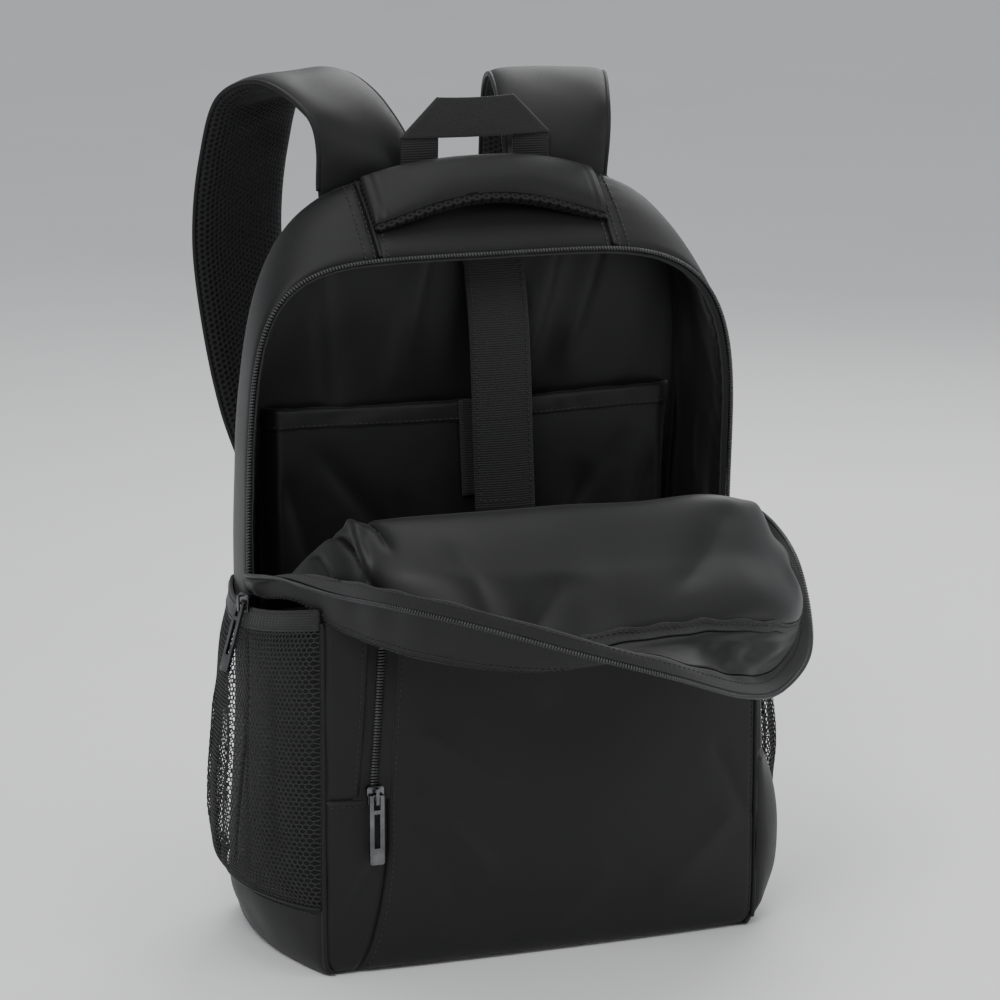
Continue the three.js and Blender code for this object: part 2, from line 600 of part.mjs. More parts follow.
// Laptop sleeve: a sheet whose sides turn back to the lining, a bound top edge, and the hanging tie
const sleeveCloth = 1.6;
const sleeveBackY = backY - backPadding - liningCloth - sleeveCloth - 2;
function sleevePoint(across, z) {
  const x = across * sleeveHalfWidth;
  const turn = smooth((Math.abs(across) - 0.86) / 0.14);
  const leanBack = sleeveBackY + backYAt(z) - backY - edgeInset(z);
  return point(x, mix(sleeveY, leanBack, turn), z);
}
const bindingBottom = sleeveTop - sleeveBinding;
const sleeveHeights = [3.4, 60, 160, 228, 270, bindingBottom, sleeveTop - 1.2];
addPiece('laptop_sleeve', clothWall((a, u) => sleevePoint(2 * a - 1, sleeveHeights[Math.round(u * 6)]),
  14, 6, -sleeveCloth, 0), 'lining');
addPiece('sleeve_binding', clothWall((a, u) => sleevePoint(2 * a - 1, mix(bindingBottom, sleeveTop, u)),
  14, 1, layerGap + 0.2, layerGap + 1.4), 'webbing');

// Way of the tie from the top lining down over the sleeve
const tieTable = [
  { drop: 0, ahead: 0, shift: -0.35 },
  { drop: 0.12, ahead: 0.35, shift: -0.3 },
  { drop: 0.4, ahead: 0.75, shift: -0.12 },
  { drop: 0.75, ahead: 0.45, shift: 0.03 },
  { drop: 1, ahead: 0.25, shift: 0.12 },
];
const tieTopZ = topHeight - 18.2;
const tieCentre = 14;
const tieBackY = 35.5;
function tiePoint(across, drop) {
  const ahead = readTable(tieTable, 'drop', 'ahead', drop) * 6;
  const shift = readTable(tieTable, 'drop', 'shift', drop) * 22;
  return point(tieCentre + shift + (across - 0.5) * tieWidth, tieBackY - ahead, mix(tieTopZ, tieBottom, drop));
}
addPiece('sleeve_tie', clothWall((a, d) => tiePoint(a, d), 2, 9, -tieCloth / 2, tieCloth / 2), 'webbing');
const tiePatchTop = sleeveTop + 1;
const tiePatchBottom = tieBottom + 8;
addPiece('sleeve_tie_patch', clothWall((a, u) => {
  const drop = (tieTopZ - mix(tiePatchBottom, tiePatchTop, u)) / (tieTopZ - tieBottom);
  const lead = tiePoint(a, drop);
  return point(lead.x - 5, sleeveY - 3, lead.z);
}, 2, 2, -0.6, 0.6), 'webbing');

// Side pockets of net, each with a coated elastic band along its open edge
const pocketFullness = [
  { up: 0, out: 0.03 },
  { up: 0.09, out: 0.6 },
  { up: 0.2, out: 0.76 },
  { up: 0.45, out: 0.93 },
  { up: 0.68, out: 0.92 },
  { up: 0.85, out: 0.78 },
  { up: 0.94, out: 0.46 },
  { up: 1, out: 0.28 },
];
function sidePocket(side, frontEnd, steep) {
  const backEnd = backY - 17;
  return (depth, up) => {
    const y = mix(frontEnd, backEnd, side < 0 ? depth : 1 - depth);
    const share = (y - frontEnd) / (backEnd - frontEnd);
    const top = mix(sidePocketTop, sidePocketTop - sidePocketDrop, Math.sin(Math.PI * share * 0.75));
    const z = mix(baseBand - 2, top, up);
    const fullness = readTable(pocketFullness, 'up', 'out', up);
    const out = sidePocketBulge * fullness * Math.sin(Math.PI * share ** 0.9) ** steep;
    return sideAt(side, y, z).add(point(side * (layerGap + bandFold + out), 0, 0));
  };
}
const bandShare = sidePocketBand / (sidePocketTop - baseBand);
const sidePockets = [
  { side: -1, name: 'left', frontEnd: frontY + 3, steep: 0.7 },
  { side: 1, name: 'right', frontEnd: rightStripBack + 3, steep: 0.5 },
];
for (const { side, name, frontEnd, steep } of sidePockets) {
  const place = sidePocket(side, frontEnd, steep);
  addPiece(`net_pocket_${name}`, clothWall((d, u) => place(d, mix(0.005, 1 - bandShare - 0.004, u)), 9, 8,
    -meshCloth, 0), 'mesh');
  addPiece(`net_pocket_band_${name}`, clothWall((d, u) => place(d, mix(1 - bandShare, 1, u)), 9, 1,
    -meshCloth - bandFold, bandFold), 'webbing');
}

// Padded handle across the top, caught in the two top seams, with net on its underside
const slope = point(0, backY - backLean, topHeight - rimHeight).normalize();
const slopeNormal = point(0, -slope.z, slope.y);
const handleHalf = seamX - 1;
function handleCentre(x) {
  const depth = 0.6;
  const way = alongAtSeam(x < 0 ? -1 : 1, depth, Math.max(0.5, Math.abs(x)));
  const under = archPoint(x < 0 ? -1 : 1, depth, way);
  const rise = mix(4.2, handleRise, (1 - (x / handleHalf) ** 2) ** 1.3);
  return point(x, under.y, under.z).addScaledVector(slopeNormal, rise);
}
function handleSection(x, outline) {
  const centre = handleCentre(x);
  return outline.map(([along, out]) => (
    centre.clone().addScaledVector(slope, along).addScaledVector(slopeNormal, out)));
}
const handleSteps = 10;
const handleTop = [];
const handleNet = [];
for (let step = 0; step <= handleSteps; step += 1) {
  const share = step / handleSteps * 2 - 1;
  const half = handleWidth / 2 * (1 - 0.12 * share ** 6);
  const front = half * mix(handleFrontShare, 1, Math.abs(share) ** 1.7);
  const rise = handleThickness * 0.6 * (1 - 0.5 * share ** 8);
  const netEdge = front + 1.5 * (1 - share ** 4);
  const x = share * handleHalf;
  handleTop.push(handleSection(x, [
    [-front, 0.2], [half, 0.2], [half * 0.96, rise * 0.45], [half * 0.6, rise * 0.9],
    [(half - front) / 2, rise], [-front * 0.6, rise * 0.9], [-front * 0.96, rise * 0.45]]));
  handleNet.push(handleSection(x, [
    [-netEdge, -0.2], [-netEdge, -1.6], [-front * 0.7, -handleThickness * 0.4],
    [half * 0.7, -handleThickness * 0.4], [half * 0.95, -1.6], [half * 0.95, -0.2]]));
}
addPiece('top_handle', loftSections(handleTop), 'coated');
addPiece('handle_net', loftSections(handleNet), 'mesh');

// Flat webbing loop on the back seam
const loopBottom = topHeight + 0.6;
const loopHalf = hangLoopSpan / 2;
const loopX = 1.5;
const loopTop = loopBottom + hangLoopHeight - 5;
const loopShape = new THREE.Shape();
const loopOutline = [
  [-loopHalf, 0], [-loopHalf + 1, 0.6], [-loopHalf * 0.28, 1],
  [loopHalf * 0.45, 1], [loopHalf - 1, 0.68], [loopHalf, 0],
];
const loopInner = [
  [loopHalf - webbingWidth, 0], [loopHalf - webbingWidth - 3, 0.42], [-loopHalf * 0.38, 0.42],
  [-loopHalf + webbingWidth, 0.3], [-loopHalf + webbingWidth, 0],
];
[...loopOutline, ...loopInner].forEach(([x, up], index) => {
  const z = up * (loopTop - loopBottom);
  if (index === 0) loopShape.moveTo(x, z);
  else loopShape.lineTo(x, z);
});
loopShape.closePath();
const hangLoop = addPiece('hang_loop',
  new THREE.ExtrudeGeometry(loopShape, { depth: webbingThickness, bevelEnabled: false }), 'webbing');
hangLoop.rotation.x = Math.PI / 2;
hangLoop.position.set(loopX, backY - backLean - layerGap, loopBottom);

// Shoulder straps: each arcs up and back from the top seam, and comes down behind the bag.
// Out is a share of the reach, and up is a share of the rise (over 0) or of the way down (under 0).
const strapTable = [
  { out: 0, up: -0.03 },
  { out: 0.03, up: 0.35 },
  { out: 0.17, up: 0.74 },
  { out: 0.5, up: 1 },
  { out: 0.8, up: 0.8 },
  { out: 0.94, up: 0.15 },
  { out: 1, up: -0.14 },
  { out: 0.95, up: -0.31 },
  { out: 0.81, up: -0.52 },
  { out: 0.56, up: -0.73 },
  { out: 0.47, up: -0.9 },
  { out: 0.46, up: -1 },
];
const strapBaseHeight = topHeight - 6;
const strapBaseY = backY - backLean + 5;
const strapWidths = [
  { way: 0, share: 0.86 },
  { way: 0.1, share: 0.92 },
  { way: 0.25, share: 1 },
  { way: 0.7, share: 1 },
  { way: 0.9, share: 0.86 },
  { way: 1, share: 0.55 },
];
const strapPath = (side) => new THREE.CatmullRomCurve3(strapTable.map(({ out, up }) => {
  const rise = side < 0 ? strapRiseLeft : strapRiseRight;
  const height = up > 0 ? strapBaseHeight + up * rise : mix(strapBaseHeight, strapEndHeight, -up);
  return point(out * strapReach, 0, height);
}), false, 'centripetal');
const strapPaths = new Map([[-1, strapPath(-1)], [1, strapPath(1)]]);
const strapXOf = (side) => (side < 0 ? strapXLeft : strapXRight);

// Out of the strap's own plane: across runs -1 to 1, and lift is measured towards its outer face.
function strapPoint(side, across, way, lift) {
  const at = strapPaths.get(side).getPointAt(way);
  const along = strapPaths.get(side).getTangentAt(way);
  const splay = THREE.MathUtils.degToRad(side < 0 ? strapSplayLeft : strapSplayRight);
  const twist = splay * smooth(way / 0.12);
  const dir = point(side * Math.sin(splay), Math.cos(splay), 0);
  const wide = point(Math.cos(twist), -side * Math.sin(twist), 0);
  const half = strapWidth / 2 * readTable(strapWidths, 'way', 'share', way);
  const outward = dir.clone().multiplyScalar(-along.z).add(point(0, 0, along.x));
  return point(side * strapXOf(side), strapBaseY, at.z)
    .addScaledVector(dir, at.x).addScaledVector(wide, across * half).addScaledVector(outward, lift);
}
const strapOuterThickness = strapPadding * 0.55;
const edgeTaper = (across) => 1 - 0.6 * Math.abs(across) ** 6;
const endTaper = (way) => mix(0.6, 1, smooth(way / 0.06) * smooth((1 - way) / 0.08));
for (const [side, name] of [[-1, 'left'], [1, 'right']]) {
  addPiece(`shoulder_strap_${name}`, clothWall((a, w) => strapPoint(side, 2 * a - 1, w, 0), 4, 18,
    0, (a, w) => strapOuterThickness * edgeTaper(2 * a - 1) * endTaper(w)), 'coated');
  addPiece(`strap_net_${name}`, clothWall((a, w) => strapPoint(side, 1.84 * a - 0.92, w, 0), 4, 18,
    -layerGap * 2, (a, w) => -layerGap * 2 - strapPadding * edgeTaper(2 * a - 1) * endTaper(w)), 'mesh');
}

// Lower ends of the straps: a ladder buckle, its webbing and the tab in the lower back corner
for (const [side, name] of [[-1, 'left'], [1, 'right']]) {
  const splay = THREE.MathUtils.degToRad(side < 0 ? strapSplayLeft : strapSplayRight);
  const strapEnd = strapPaths.get(side).getPointAt(1);
  const endX = side * (strapXOf(side) + strapEnd.x * Math.sin(splay));
  const endY = strapBaseY + strapEnd.x * Math.cos(splay);
  const buckleTop = strapEndHeight - 0.6;
  const buckleWidth = strapWebbing + 9;
  const slotHalf = strapWebbing / 2 + 0.8;
  const slotHeight = 5;
  const buckleShape = new THREE.Shape();
  const cut = 3;
  const right = buckleWidth / 2;
  buckleShape.moveTo(-right + cut, 0);
  buckleShape.lineTo(right - cut, 0);
  buckleShape.lineTo(right, -cut);
  buckleShape.lineTo(right, -buckleLength + cut);
  buckleShape.lineTo(right - cut, -buckleLength);
  buckleShape.lineTo(-right + cut, -buckleLength);
  buckleShape.lineTo(-right, -buckleLength + cut);
  buckleShape.lineTo(-right, -cut);
  buckleShape.closePath();
  for (const slotTop of [-4.4, -buckleLength + 4.4 + slotHeight]) {
    const slot = new THREE.Path();
    slot.moveTo(-slotHalf, slotTop);
    slot.lineTo(-slotHalf, slotTop - slotHeight);
    slot.lineTo(slotHalf, slotTop - slotHeight);
    slot.lineTo(slotHalf, slotTop);
    slot.closePath();
    buckleShape.holes.push(slot);
  }
  const buckle = addPiece(`ladder_buckle_${name}`,
    new THREE.ExtrudeGeometry(buckleShape, { depth: 3.6, bevelEnabled: false }), 'plastic');
  buckle.rotation.x = Math.PI / 2;
  buckle.position.set(endX, endY + 1.8, buckleTop);

  const webTop = point(endX, endY - 2, buckleTop - buckleLength - 0.5);
  const webEnd = point(side * anchorX, backY + 6.4, anchorHeight);
  addPiece(`strap_webbing_${name}`, clothWall((a, u) => {
    const centre = webTop.clone().lerp(webEnd, u);
    const hang = 5 * Math.sin(Math.PI * u);
    return centre.add(point((a - 0.5) * strapWebbing, hang, -side * (a - 0.5) * 6 * smooth(u * 2)));
  }, 1, 8, -webbingThickness / 2, webbingThickness / 2), 'webbing');

  const tabShape = new THREE.Shape();
  const outer = bodyHalfWidth(backY) - 4;
  const inner = anchorX - strapWebbing / 2;
  tabShape.moveTo(side * outer, anchorHeight - 18);
  tabShape.lineTo(side * outer, anchorHeight + 34);
  tabShape.lineTo(side * inner, anchorHeight + 12);
  tabShape.lineTo(side * inner, anchorHeight - 12);
  tabShape.closePath();
  const tab = addPiece(`strap_tab_${name}`,
    new THREE.ExtrudeGeometry(tabShape, { depth: cloth, bevelEnabled: false }), 'coated');
  tab.rotation.x = Math.PI / 2;
  tab.position.y = backY + 2.7 + cloth;
}

// Zip sliders and their pulls. In a slider's own frame the zip runs along Z and -Y faces out.
function joined(geometries) {
  return fromManifold(geometries.map(toManifold).reduce((all, next) => all.add(next)));
}
function block(width, depth, height, x, y, z) {
  return new THREE.BoxGeometry(width, depth, height).translate(x, y, z);
}
const bridgeWidth = 2;
const bridgeWall = 1.2;
const bridgeHalf = 5;
const pinOut = pinRadius + 0.7;       // the pull's pin turns in the middle of the bridge
function sliderGeometry() {
  const body = block(sliderWidth, sliderThickness, sliderLength, 0, sliderThickness / 2, 0);
  const shoulder = block(sliderWidth * 1.16, sliderThickness, sliderLength * 0.42, 0, sliderThickness / 2,
    sliderLength * 0.22);
  const legPlace = bridgeHalf - bridgeWall / 2;
  const upperLeg = block(bridgeWidth, bridgeRise, bridgeWall, 0, -bridgeRise / 2 + 0.1, legPlace);
  const lowerLeg = block(bridgeWidth, bridgeRise, bridgeWall, 0, -bridgeRise / 2 + 0.1, -legPlace);
  const bar = block(bridgeWidth, bridgeWall, bridgeHalf * 2, 0, -bridgeRise + bridgeWall / 2, 0);
  return joined([body, shoulder, upperLeg, lowerLeg, bar]);
}
function pullGeometry() {
  const half = pullWidth / 2;
  const plate = new THREE.Shape();
  plate.moveTo(-half, 0);
  plate.lineTo(half, 0);
  plate.lineTo(half, -pullLength + 1);
  plate.lineTo(half - 1, -pullLength);
  plate.lineTo(-half + 1, -pullLength);
  plate.lineTo(-half, -pullLength + 1);
  plate.closePath();
  const slots = [
    { half: bridgeWidth / 2 + 1.1, top: -0.2, bottom: -bridgeHalf - 3.5 },
    { half: pullWidth * 0.2, top: -bridgeHalf - 6, bottom: -pullLength * 0.76 },
  ];
  for (const { half: slotHalf, top, bottom } of slots) {
    const slot = new THREE.Path();
    slot.moveTo(-slotHalf, top);
    slot.lineTo(-slotHalf, bottom);
    slot.lineTo(slotHalf, bottom);
    slot.lineTo(slotHalf, top);
    slot.closePath();
    plate.holes.push(slot);
  }
  const flat = new THREE.ExtrudeGeometry(plate, { depth: pullThickness, bevelEnabled: false })
    .translate(0, 0, -pullThickness / 2).rotateX(Math.PI / 2);
  const pin = new THREE.CylinderGeometry(pinRadius, pinRadius, pullWidth, 10).rotateZ(Math.PI / 2);
  return joined([flat, pin]);
}
function addZipPull(name, place, turn, tilt) {
  const mounted = new THREE.Group();
  mounted.position.copy(place);
  mounted.rotation.z = turn;
  const slider = new THREE.Mesh(sliderGeometry(), new THREE.MeshStandardMaterial(finishes.hardware));
  slider.name = `${name}_slider`;
  const pull = new THREE.Mesh(pullGeometry(), new THREE.MeshStandardMaterial(finishes.hardware));
  pull.name = `${name}_pull`;
  pull.position.y = -pinOut;
  pull.rotation.x = tilt;
  mounted.add(slider, pull);
  bag.add(mounted);
}
const pocketPullZ = pocketZipBottom + 4;
const pocketPullX = panelLeftX(pocketPullZ) - pocketZipWidth / 2;
const pocketPullY = pocketY(pocketPullX, pocketPullZ) - sliderThickness - 0.6;
addZipPull('pocket_zip', point(pocketPullX, pocketPullY, pocketPullZ), 0, 0);
const mainPullPlace = flapPoint(0.045, 0.78);
addZipPull('main_zip', point(mainPullPlace.x - 6.8, mainPullPlace.y - 3.6, mainPullPlace.z - 9),
  -THREE.MathUtils.degToRad(mainPullTurn), -THREE.MathUtils.degToRad(17));

// Teeth down the middle of the pocket's zip
const pocketTeethPoints = [];
for (let step = 0; step <= 8; step += 1) {
  const z = mix(pocketPullZ + sliderLength / 2 + 1, pocketZipTop + 24, step / 8);
  const x = panelLeftX(z) - pocketZipWidth / 2;
  pocketTeethPoints.push(point(x, pocketY(x, z) - 1.4, z));
}
addPiece('pocket_zip_teeth', teethAlong(new THREE.CatmullRomCurve3(pocketTeethPoints), 12), 'zipTeeth');

export default bag;
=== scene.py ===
import json
import math
import bmesh
import bpy
import numpy as np
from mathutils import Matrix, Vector

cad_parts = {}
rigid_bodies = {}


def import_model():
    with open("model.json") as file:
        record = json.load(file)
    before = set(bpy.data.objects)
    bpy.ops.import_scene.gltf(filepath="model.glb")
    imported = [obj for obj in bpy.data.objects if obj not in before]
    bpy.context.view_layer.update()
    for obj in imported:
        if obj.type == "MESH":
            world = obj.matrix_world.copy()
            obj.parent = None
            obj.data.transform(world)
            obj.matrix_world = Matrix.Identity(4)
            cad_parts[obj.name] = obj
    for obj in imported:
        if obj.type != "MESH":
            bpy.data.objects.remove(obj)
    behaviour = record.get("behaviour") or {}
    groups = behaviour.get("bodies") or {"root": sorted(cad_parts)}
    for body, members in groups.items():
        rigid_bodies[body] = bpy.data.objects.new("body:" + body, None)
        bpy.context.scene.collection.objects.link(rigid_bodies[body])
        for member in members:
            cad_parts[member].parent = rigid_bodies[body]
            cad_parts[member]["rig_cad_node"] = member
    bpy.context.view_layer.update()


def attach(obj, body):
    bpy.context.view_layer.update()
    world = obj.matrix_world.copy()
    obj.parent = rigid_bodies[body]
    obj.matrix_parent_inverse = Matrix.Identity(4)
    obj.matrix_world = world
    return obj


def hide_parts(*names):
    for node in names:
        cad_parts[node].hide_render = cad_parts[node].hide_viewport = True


# Laptop backpack, opened. Measures are in millimetres until a mesh is made, then in metres.
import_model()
print("stage: frame loaded")

mm = 0.001
scene = bpy.context.scene

# Camera at the photograph's angle
cameraValues = {"place": (-0.8268, -2.2112, 0.7960), "lookAt": (0, 0, 0.264), "lens": 143.35, "sensor": 36}
cameraData = bpy.data.cameras.new("photoCamera")
cameraData.lens = cameraValues["lens"]
cameraData.sensor_width = cameraValues["sensor"]
cameraData.sensor_fit = "HORIZONTAL"
photoCamera = bpy.data.objects.new("photoCamera", cameraData)
scene.collection.objects.link(photoCamera)
photoCamera.location = cameraValues["place"]
lookWay = Vector(cameraValues["lookAt"]) - Vector(cameraValues["place"])
photoCamera.rotation_euler = lookWay.to_track_quat("-Z", "Y").to_euler()
scene.camera = photoCamera
print("stage: camera")


# Small number helpers, for single numbers and for arrays alike

def mix(low, high, share):
    return low + (high - low) * share


def smooth(share):
    s = np.clip(share, 0, 1)
    return s * s * (3 - 2 * s)


def bump(share, centre, half):
    return smooth(1 - np.abs(share - centre) / half)


def readTable(rows, value):
    places = [row[0] for row in rows]
    values = [row[1] for row in rows]
    return float(np.interp(value, places, values))


def readSmooth(rows, value):
    # A smooth curve through a short table of (place, value)
    last = len(rows) - 1
    at = min(max(value, rows[0][0]), rows[last][0])
    index = 0
    while index < last - 1 and rows[index + 1][0] < at:
        index += 1
    start, end = rows[index], rows[index + 1]
    span = end[0] - start[0]
    share = (at - start[0]) / span

    def slopeAt(middle):
        low, high = rows[max(0, middle - 1)], rows[min(last, middle + 1)]
        return (high[1] - low[1]) / (high[0] - low[0]) * span

    s2, s3 = share ** 2, share ** 3
    return ((2 * s3 - 3 * s2 + 1) * start[1] + (s3 - 2 * s2 + share) * slopeAt(index)
            + (3 * s2 - 2 * s3) * end[1] + (s3 - s2) * slopeAt(index + 1))


def curveAt(points, share, even=False):
    # A point on a smooth curve through the points; even=True spaces the pull of far points evenly
    last = len(points) - 1
    at = last * min(max(share, 0), 1)
    index = min(int(at), last - 1)
    w = at - index
    p1, p2 = points[index], points[index + 1]
    p0 = points[index - 1] if index > 0 else 2 * points[0] - points[1]
    p3 = points[index + 2] if index + 2 <= last else 2 * points[last] - points[last - 1]
    if even:
        d0, d1, d2 = (max(np.linalg.norm(b - a), 1e-6) ** 0.5 for a, b in ((p0, p1), (p1, p2), (p2, p3)))
        t1 = ((p1 - p0) / d0 - (p2 - p0) / (d0 + d1) + (p2 - p1) / d1) * d1
        t2 = ((p2 - p1) / d1 - (p3 - p1) / (d1 + d2) + (p3 - p2) / d2) * d1
    else:
        t1, t2 = (p2 - p0) / 2, (p3 - p1) / 2
    return p1 + t1 * w + (3 * (p2 - p1) - 2 * t1 - t2) * w ** 2 + (2 * (p1 - p2) + t1 + t2) * w ** 3


def ripple(points, size, seed):
    # Soft waves over a set of points, about -1 to 1; size is their length in mm
    chance = np.random.default_rng(seed)
    total = np.zeros(points.shape[:-1])
    for octave in range(5):
        way = chance.normal(size=3)
        way /= np.linalg.norm(way)
        bend = chance.normal(size=3)
        bend /= np.linalg.norm(bend)
        scale = 2 * math.pi / (size * chance.uniform(0.7, 1.5))
        shift, turn = chance.uniform(0, 6.28, 2)
        total += np.sin(points @ way * scale + shift + 1.3 * np.sin(points @ bend * scale * 0.6 + turn))
    return total / 2.6


# Making meshes

def addObject(name, mesh, material, nodes, body="bag"):
    piece = bpy.data.objects.new(name, mesh)
    scene.collection.objects.link(piece)
    mesh.materials.append(material)
    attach(piece, body)
    if nodes:
        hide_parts(*nodes)
    return piece


def meshFrom(name, points, faces, cornerPlaces=None, sharp=False):
    mesh = bpy.data.meshes.new(name)
    mesh.from_pydata((np.asarray(points, float).reshape(-1, 3) * mm).tolist(), [], faces)
    if cornerPlaces is not None:
        layer = mesh.uv_layers.new(name="cloth")
        flat = cornerPlaces[np.fromiter((v for f in faces for v in f), int)]
        layer.data.foreach_set("uv", (flat * mm).astype(float).ravel())
    mesh.validate()
    mesh.shade_smooth()
    if sharp:
        mesh.shade_flat()
    return mesh


def gridOf(place, across, along):
    return np.array([[place(i / across, j / along) for i in range(across + 1)] for j in range(along + 1)])


def normalsOf(grid):
    acrossWay = np.gradient(grid, axis=1)
    alongWay = np.gradient(grid, axis=0)
    normals = np.cross(acrossWay, alongWay)
    return normals / np.maximum(np.linalg.norm(normals, axis=2, keepdims=True), 1e-9)


def runs(grid):
    # How far each point lies across and along the cloth, in mm
    stepA = np.linalg.norm(np.diff(grid, axis=1), axis=2)
    stepU = np.linalg.norm(np.diff(grid, axis=0), axis=2)
    a = np.concatenate([np.zeros((grid.shape[0], 1)), np.cumsum(stepA, axis=1)], axis=1)
    u = np.concatenate([np.zeros((1, grid.shape[1])), np.cumsum(stepU, axis=0)], axis=0)
    return a, u


def wallMesh(name, grid, low, high):
    # Cloth of a given thickness on a grid, with a soft rounded rim
    normals = normalsOf(grid)
    rows, cols = grid.shape[:2]
    lowSide, highSide = grid + normals * low, grid + normals * high
    a, u = runs(grid)
    middle = [(0, c) for c in range(cols)] + [(r, cols - 1) for r in range(1, rows)]
    middle += [(rows - 1, c) for c in range(cols - 2, -1, -1)] + [(r, 0) for r in range(rows - 2, 0, -1)]
    rim = []
    for r, c in middle:
        inR, inC = min(max(r, 1), rows - 2), min(max(c, 1), cols - 2)
        out = grid[r, c] - grid[inR, inC]
        size = np.linalg.norm(out)
        lift = np.ravel(high - low)[0] if np.ndim(high - low) == 0 else (high - low)[r, c, 0]
        half = (lowSide[r, c] + highSide[r, c]) / 2
        rim.append(half + (out / size * lift * 0.32 if size > 0 else 0))
    count = rows * cols
    points = np.concatenate([lowSide.reshape(-1, 3), highSide.reshape(-1, 3), np.array(rim)])
    faces = []
    for r in range(rows - 1):
        for c in range(cols - 1):
            k = r * cols + c
            faces.append((k, k + cols, k + cols + 1, k + 1))
            faces.append((count + k, count + k + 1, count + k + cols + 1, count + k + cols))
    n = len(middle)
    for index, (r, c) in enumerate(middle):
        nextR, nextC = middle[(index + 1) % n]
        one, two = r * cols + c, nextR * cols + nextC
        m1, m2 = 2 * count + index, 2 * count + (index + 1) % n
        faces.append((one, two, m2, m1))
        faces.append((m1, m2, count + two, count + one))
    flat = np.stack([a, u], axis=2).reshape(-1, 2)
    rimFlat = np.array([[a[r, c], u[r, c]] for r, c in middle])
    return meshFrom(name, points, faces, np.concatenate([flat, flat, rimFlat]))


def addCloth(name, place, across, along, low, high, material, nodes, relief=None, body="bag"):
    # place gives the surface, relief(grid, a, u) moves it along its normal, and low and high are its faces
    grid = gridOf(place, across, along)
    if relief is not None:
        share = np.meshgrid(np.linspace(0, 1, across + 1), np.linspace(0, 1, along + 1))
        grid = grid + normalsOf(grid) * np.asarray(relief(grid, share[0], share[1]))[..., None]
    return addObject(name, wallMesh(name, grid, low, high), material, nodes, body), grid


def seamDip(grid, a, u, edges, depth, reach):
    # Cloth that turns in at its sewn edges; edges names left, right, bottom, top
    runA, runU = runs(grid)
    toEdge = {"left": runA, "right": runA[:, -1:] - runA, "bottom": runU, "top": runU[-1:, :] - runU}
    dip = np.zeros(a.shape)
    for edge in edges:
        dip = np.maximum(dip, 1 - smooth(toEdge[edge] / reach))
    return dip * depth


def crease(a, u, start, end, width, depth, sharpness=1.5):
    # A fold from one place of the cloth to another; width is a share of the cloth, depth is in mm
    sx, sy = start
    dx, dy = end[0] - sx, end[1] - sy
    length = math.hypot(dx, dy)
    along = ((a - sx) * dx + (u - sy) * dy) / length ** 2
    aside = np.abs((a - sx) * dy - (u - sy) * dx) / length
    fade = smooth(along / 0.25) * smooth((1 - along) / 0.25)
    wide = width * (0.6 + 0.4 * np.clip(along, 0, 1))
    return depth * fade * np.exp(-(aside / wide) ** sharpness)


def creases(a, u, rows):
    # Creases from rows of start, end, width and depth in mm
    return sum(crease(a, u, start, end, width, depth) for start, end, width, depth in rows)


def tubeMesh(name, path, radius, sides=8):
    # A round cord along a path of points
    path = np.asarray(path, float)
    count = len(path)
    tangents = np.gradient(path, axis=0)
    tangents /= np.linalg.norm(tangents, axis=1, keepdims=True)
    points, faces, flat = [], [], []
    side = np.cross(tangents[0], np.array([0.0, 0.0, 1.0]))
    if np.linalg.norm(side) < 1e-3:
        side = np.cross(tangents[0], np.array([1.0, 0.0, 0.0]))
    run = 0.0
    for index in range(count):
        if index:
            run += np.linalg.norm(path[index] - path[index - 1])
        side = side - tangents[index] * np.dot(side, tangents[index])
        side /= np.linalg.norm(side)
        over = np.cross(side, tangents[index])
        for k in range(sides):
            turn = 2 * math.pi * k / sides
            offset = side * math.cos(turn) * radius + over * math.sin(turn) * radius
            points.append(path[index] + offset)
            flat.append([k / sides * 2 * math.pi * radius, run])
    for index in range(count - 1):
        for k in range(sides):
            one, two = index * sides + k, index * sides + (k + 1) % sides
            faces.append((one, two, two + sides, one + sides))
    faces.append(tuple(range(sides - 1, -1, -1)))
    faces.append(tuple(range((count - 1) * sides, count * sides)))
    return meshFrom(name, points, faces, np.array(flat))


def evenly(path, step):
    # The same path with points at even distances
    path = np.asarray(path, float)
    lengths = np.concatenate([[0], np.cumsum(np.linalg.norm(np.diff(path, axis=0), axis=1))])
    count = max(2, int(lengths[-1] / step) + 1)
    at = np.linspace(0, lengths[-1], count)
    return np.stack([np.interp(at, lengths, path[:, k]) for k in range(3)], axis=1)


class Lump:
    # Many small solids gathered in one mesh
    def __init__(self):
        self.points, self.faces = [], []

    def add(self, corners, faces):
        start = len(self.points)
        self.points.extend(corners)
        self.faces.extend([tuple(start + k for k in face) for face in faces])


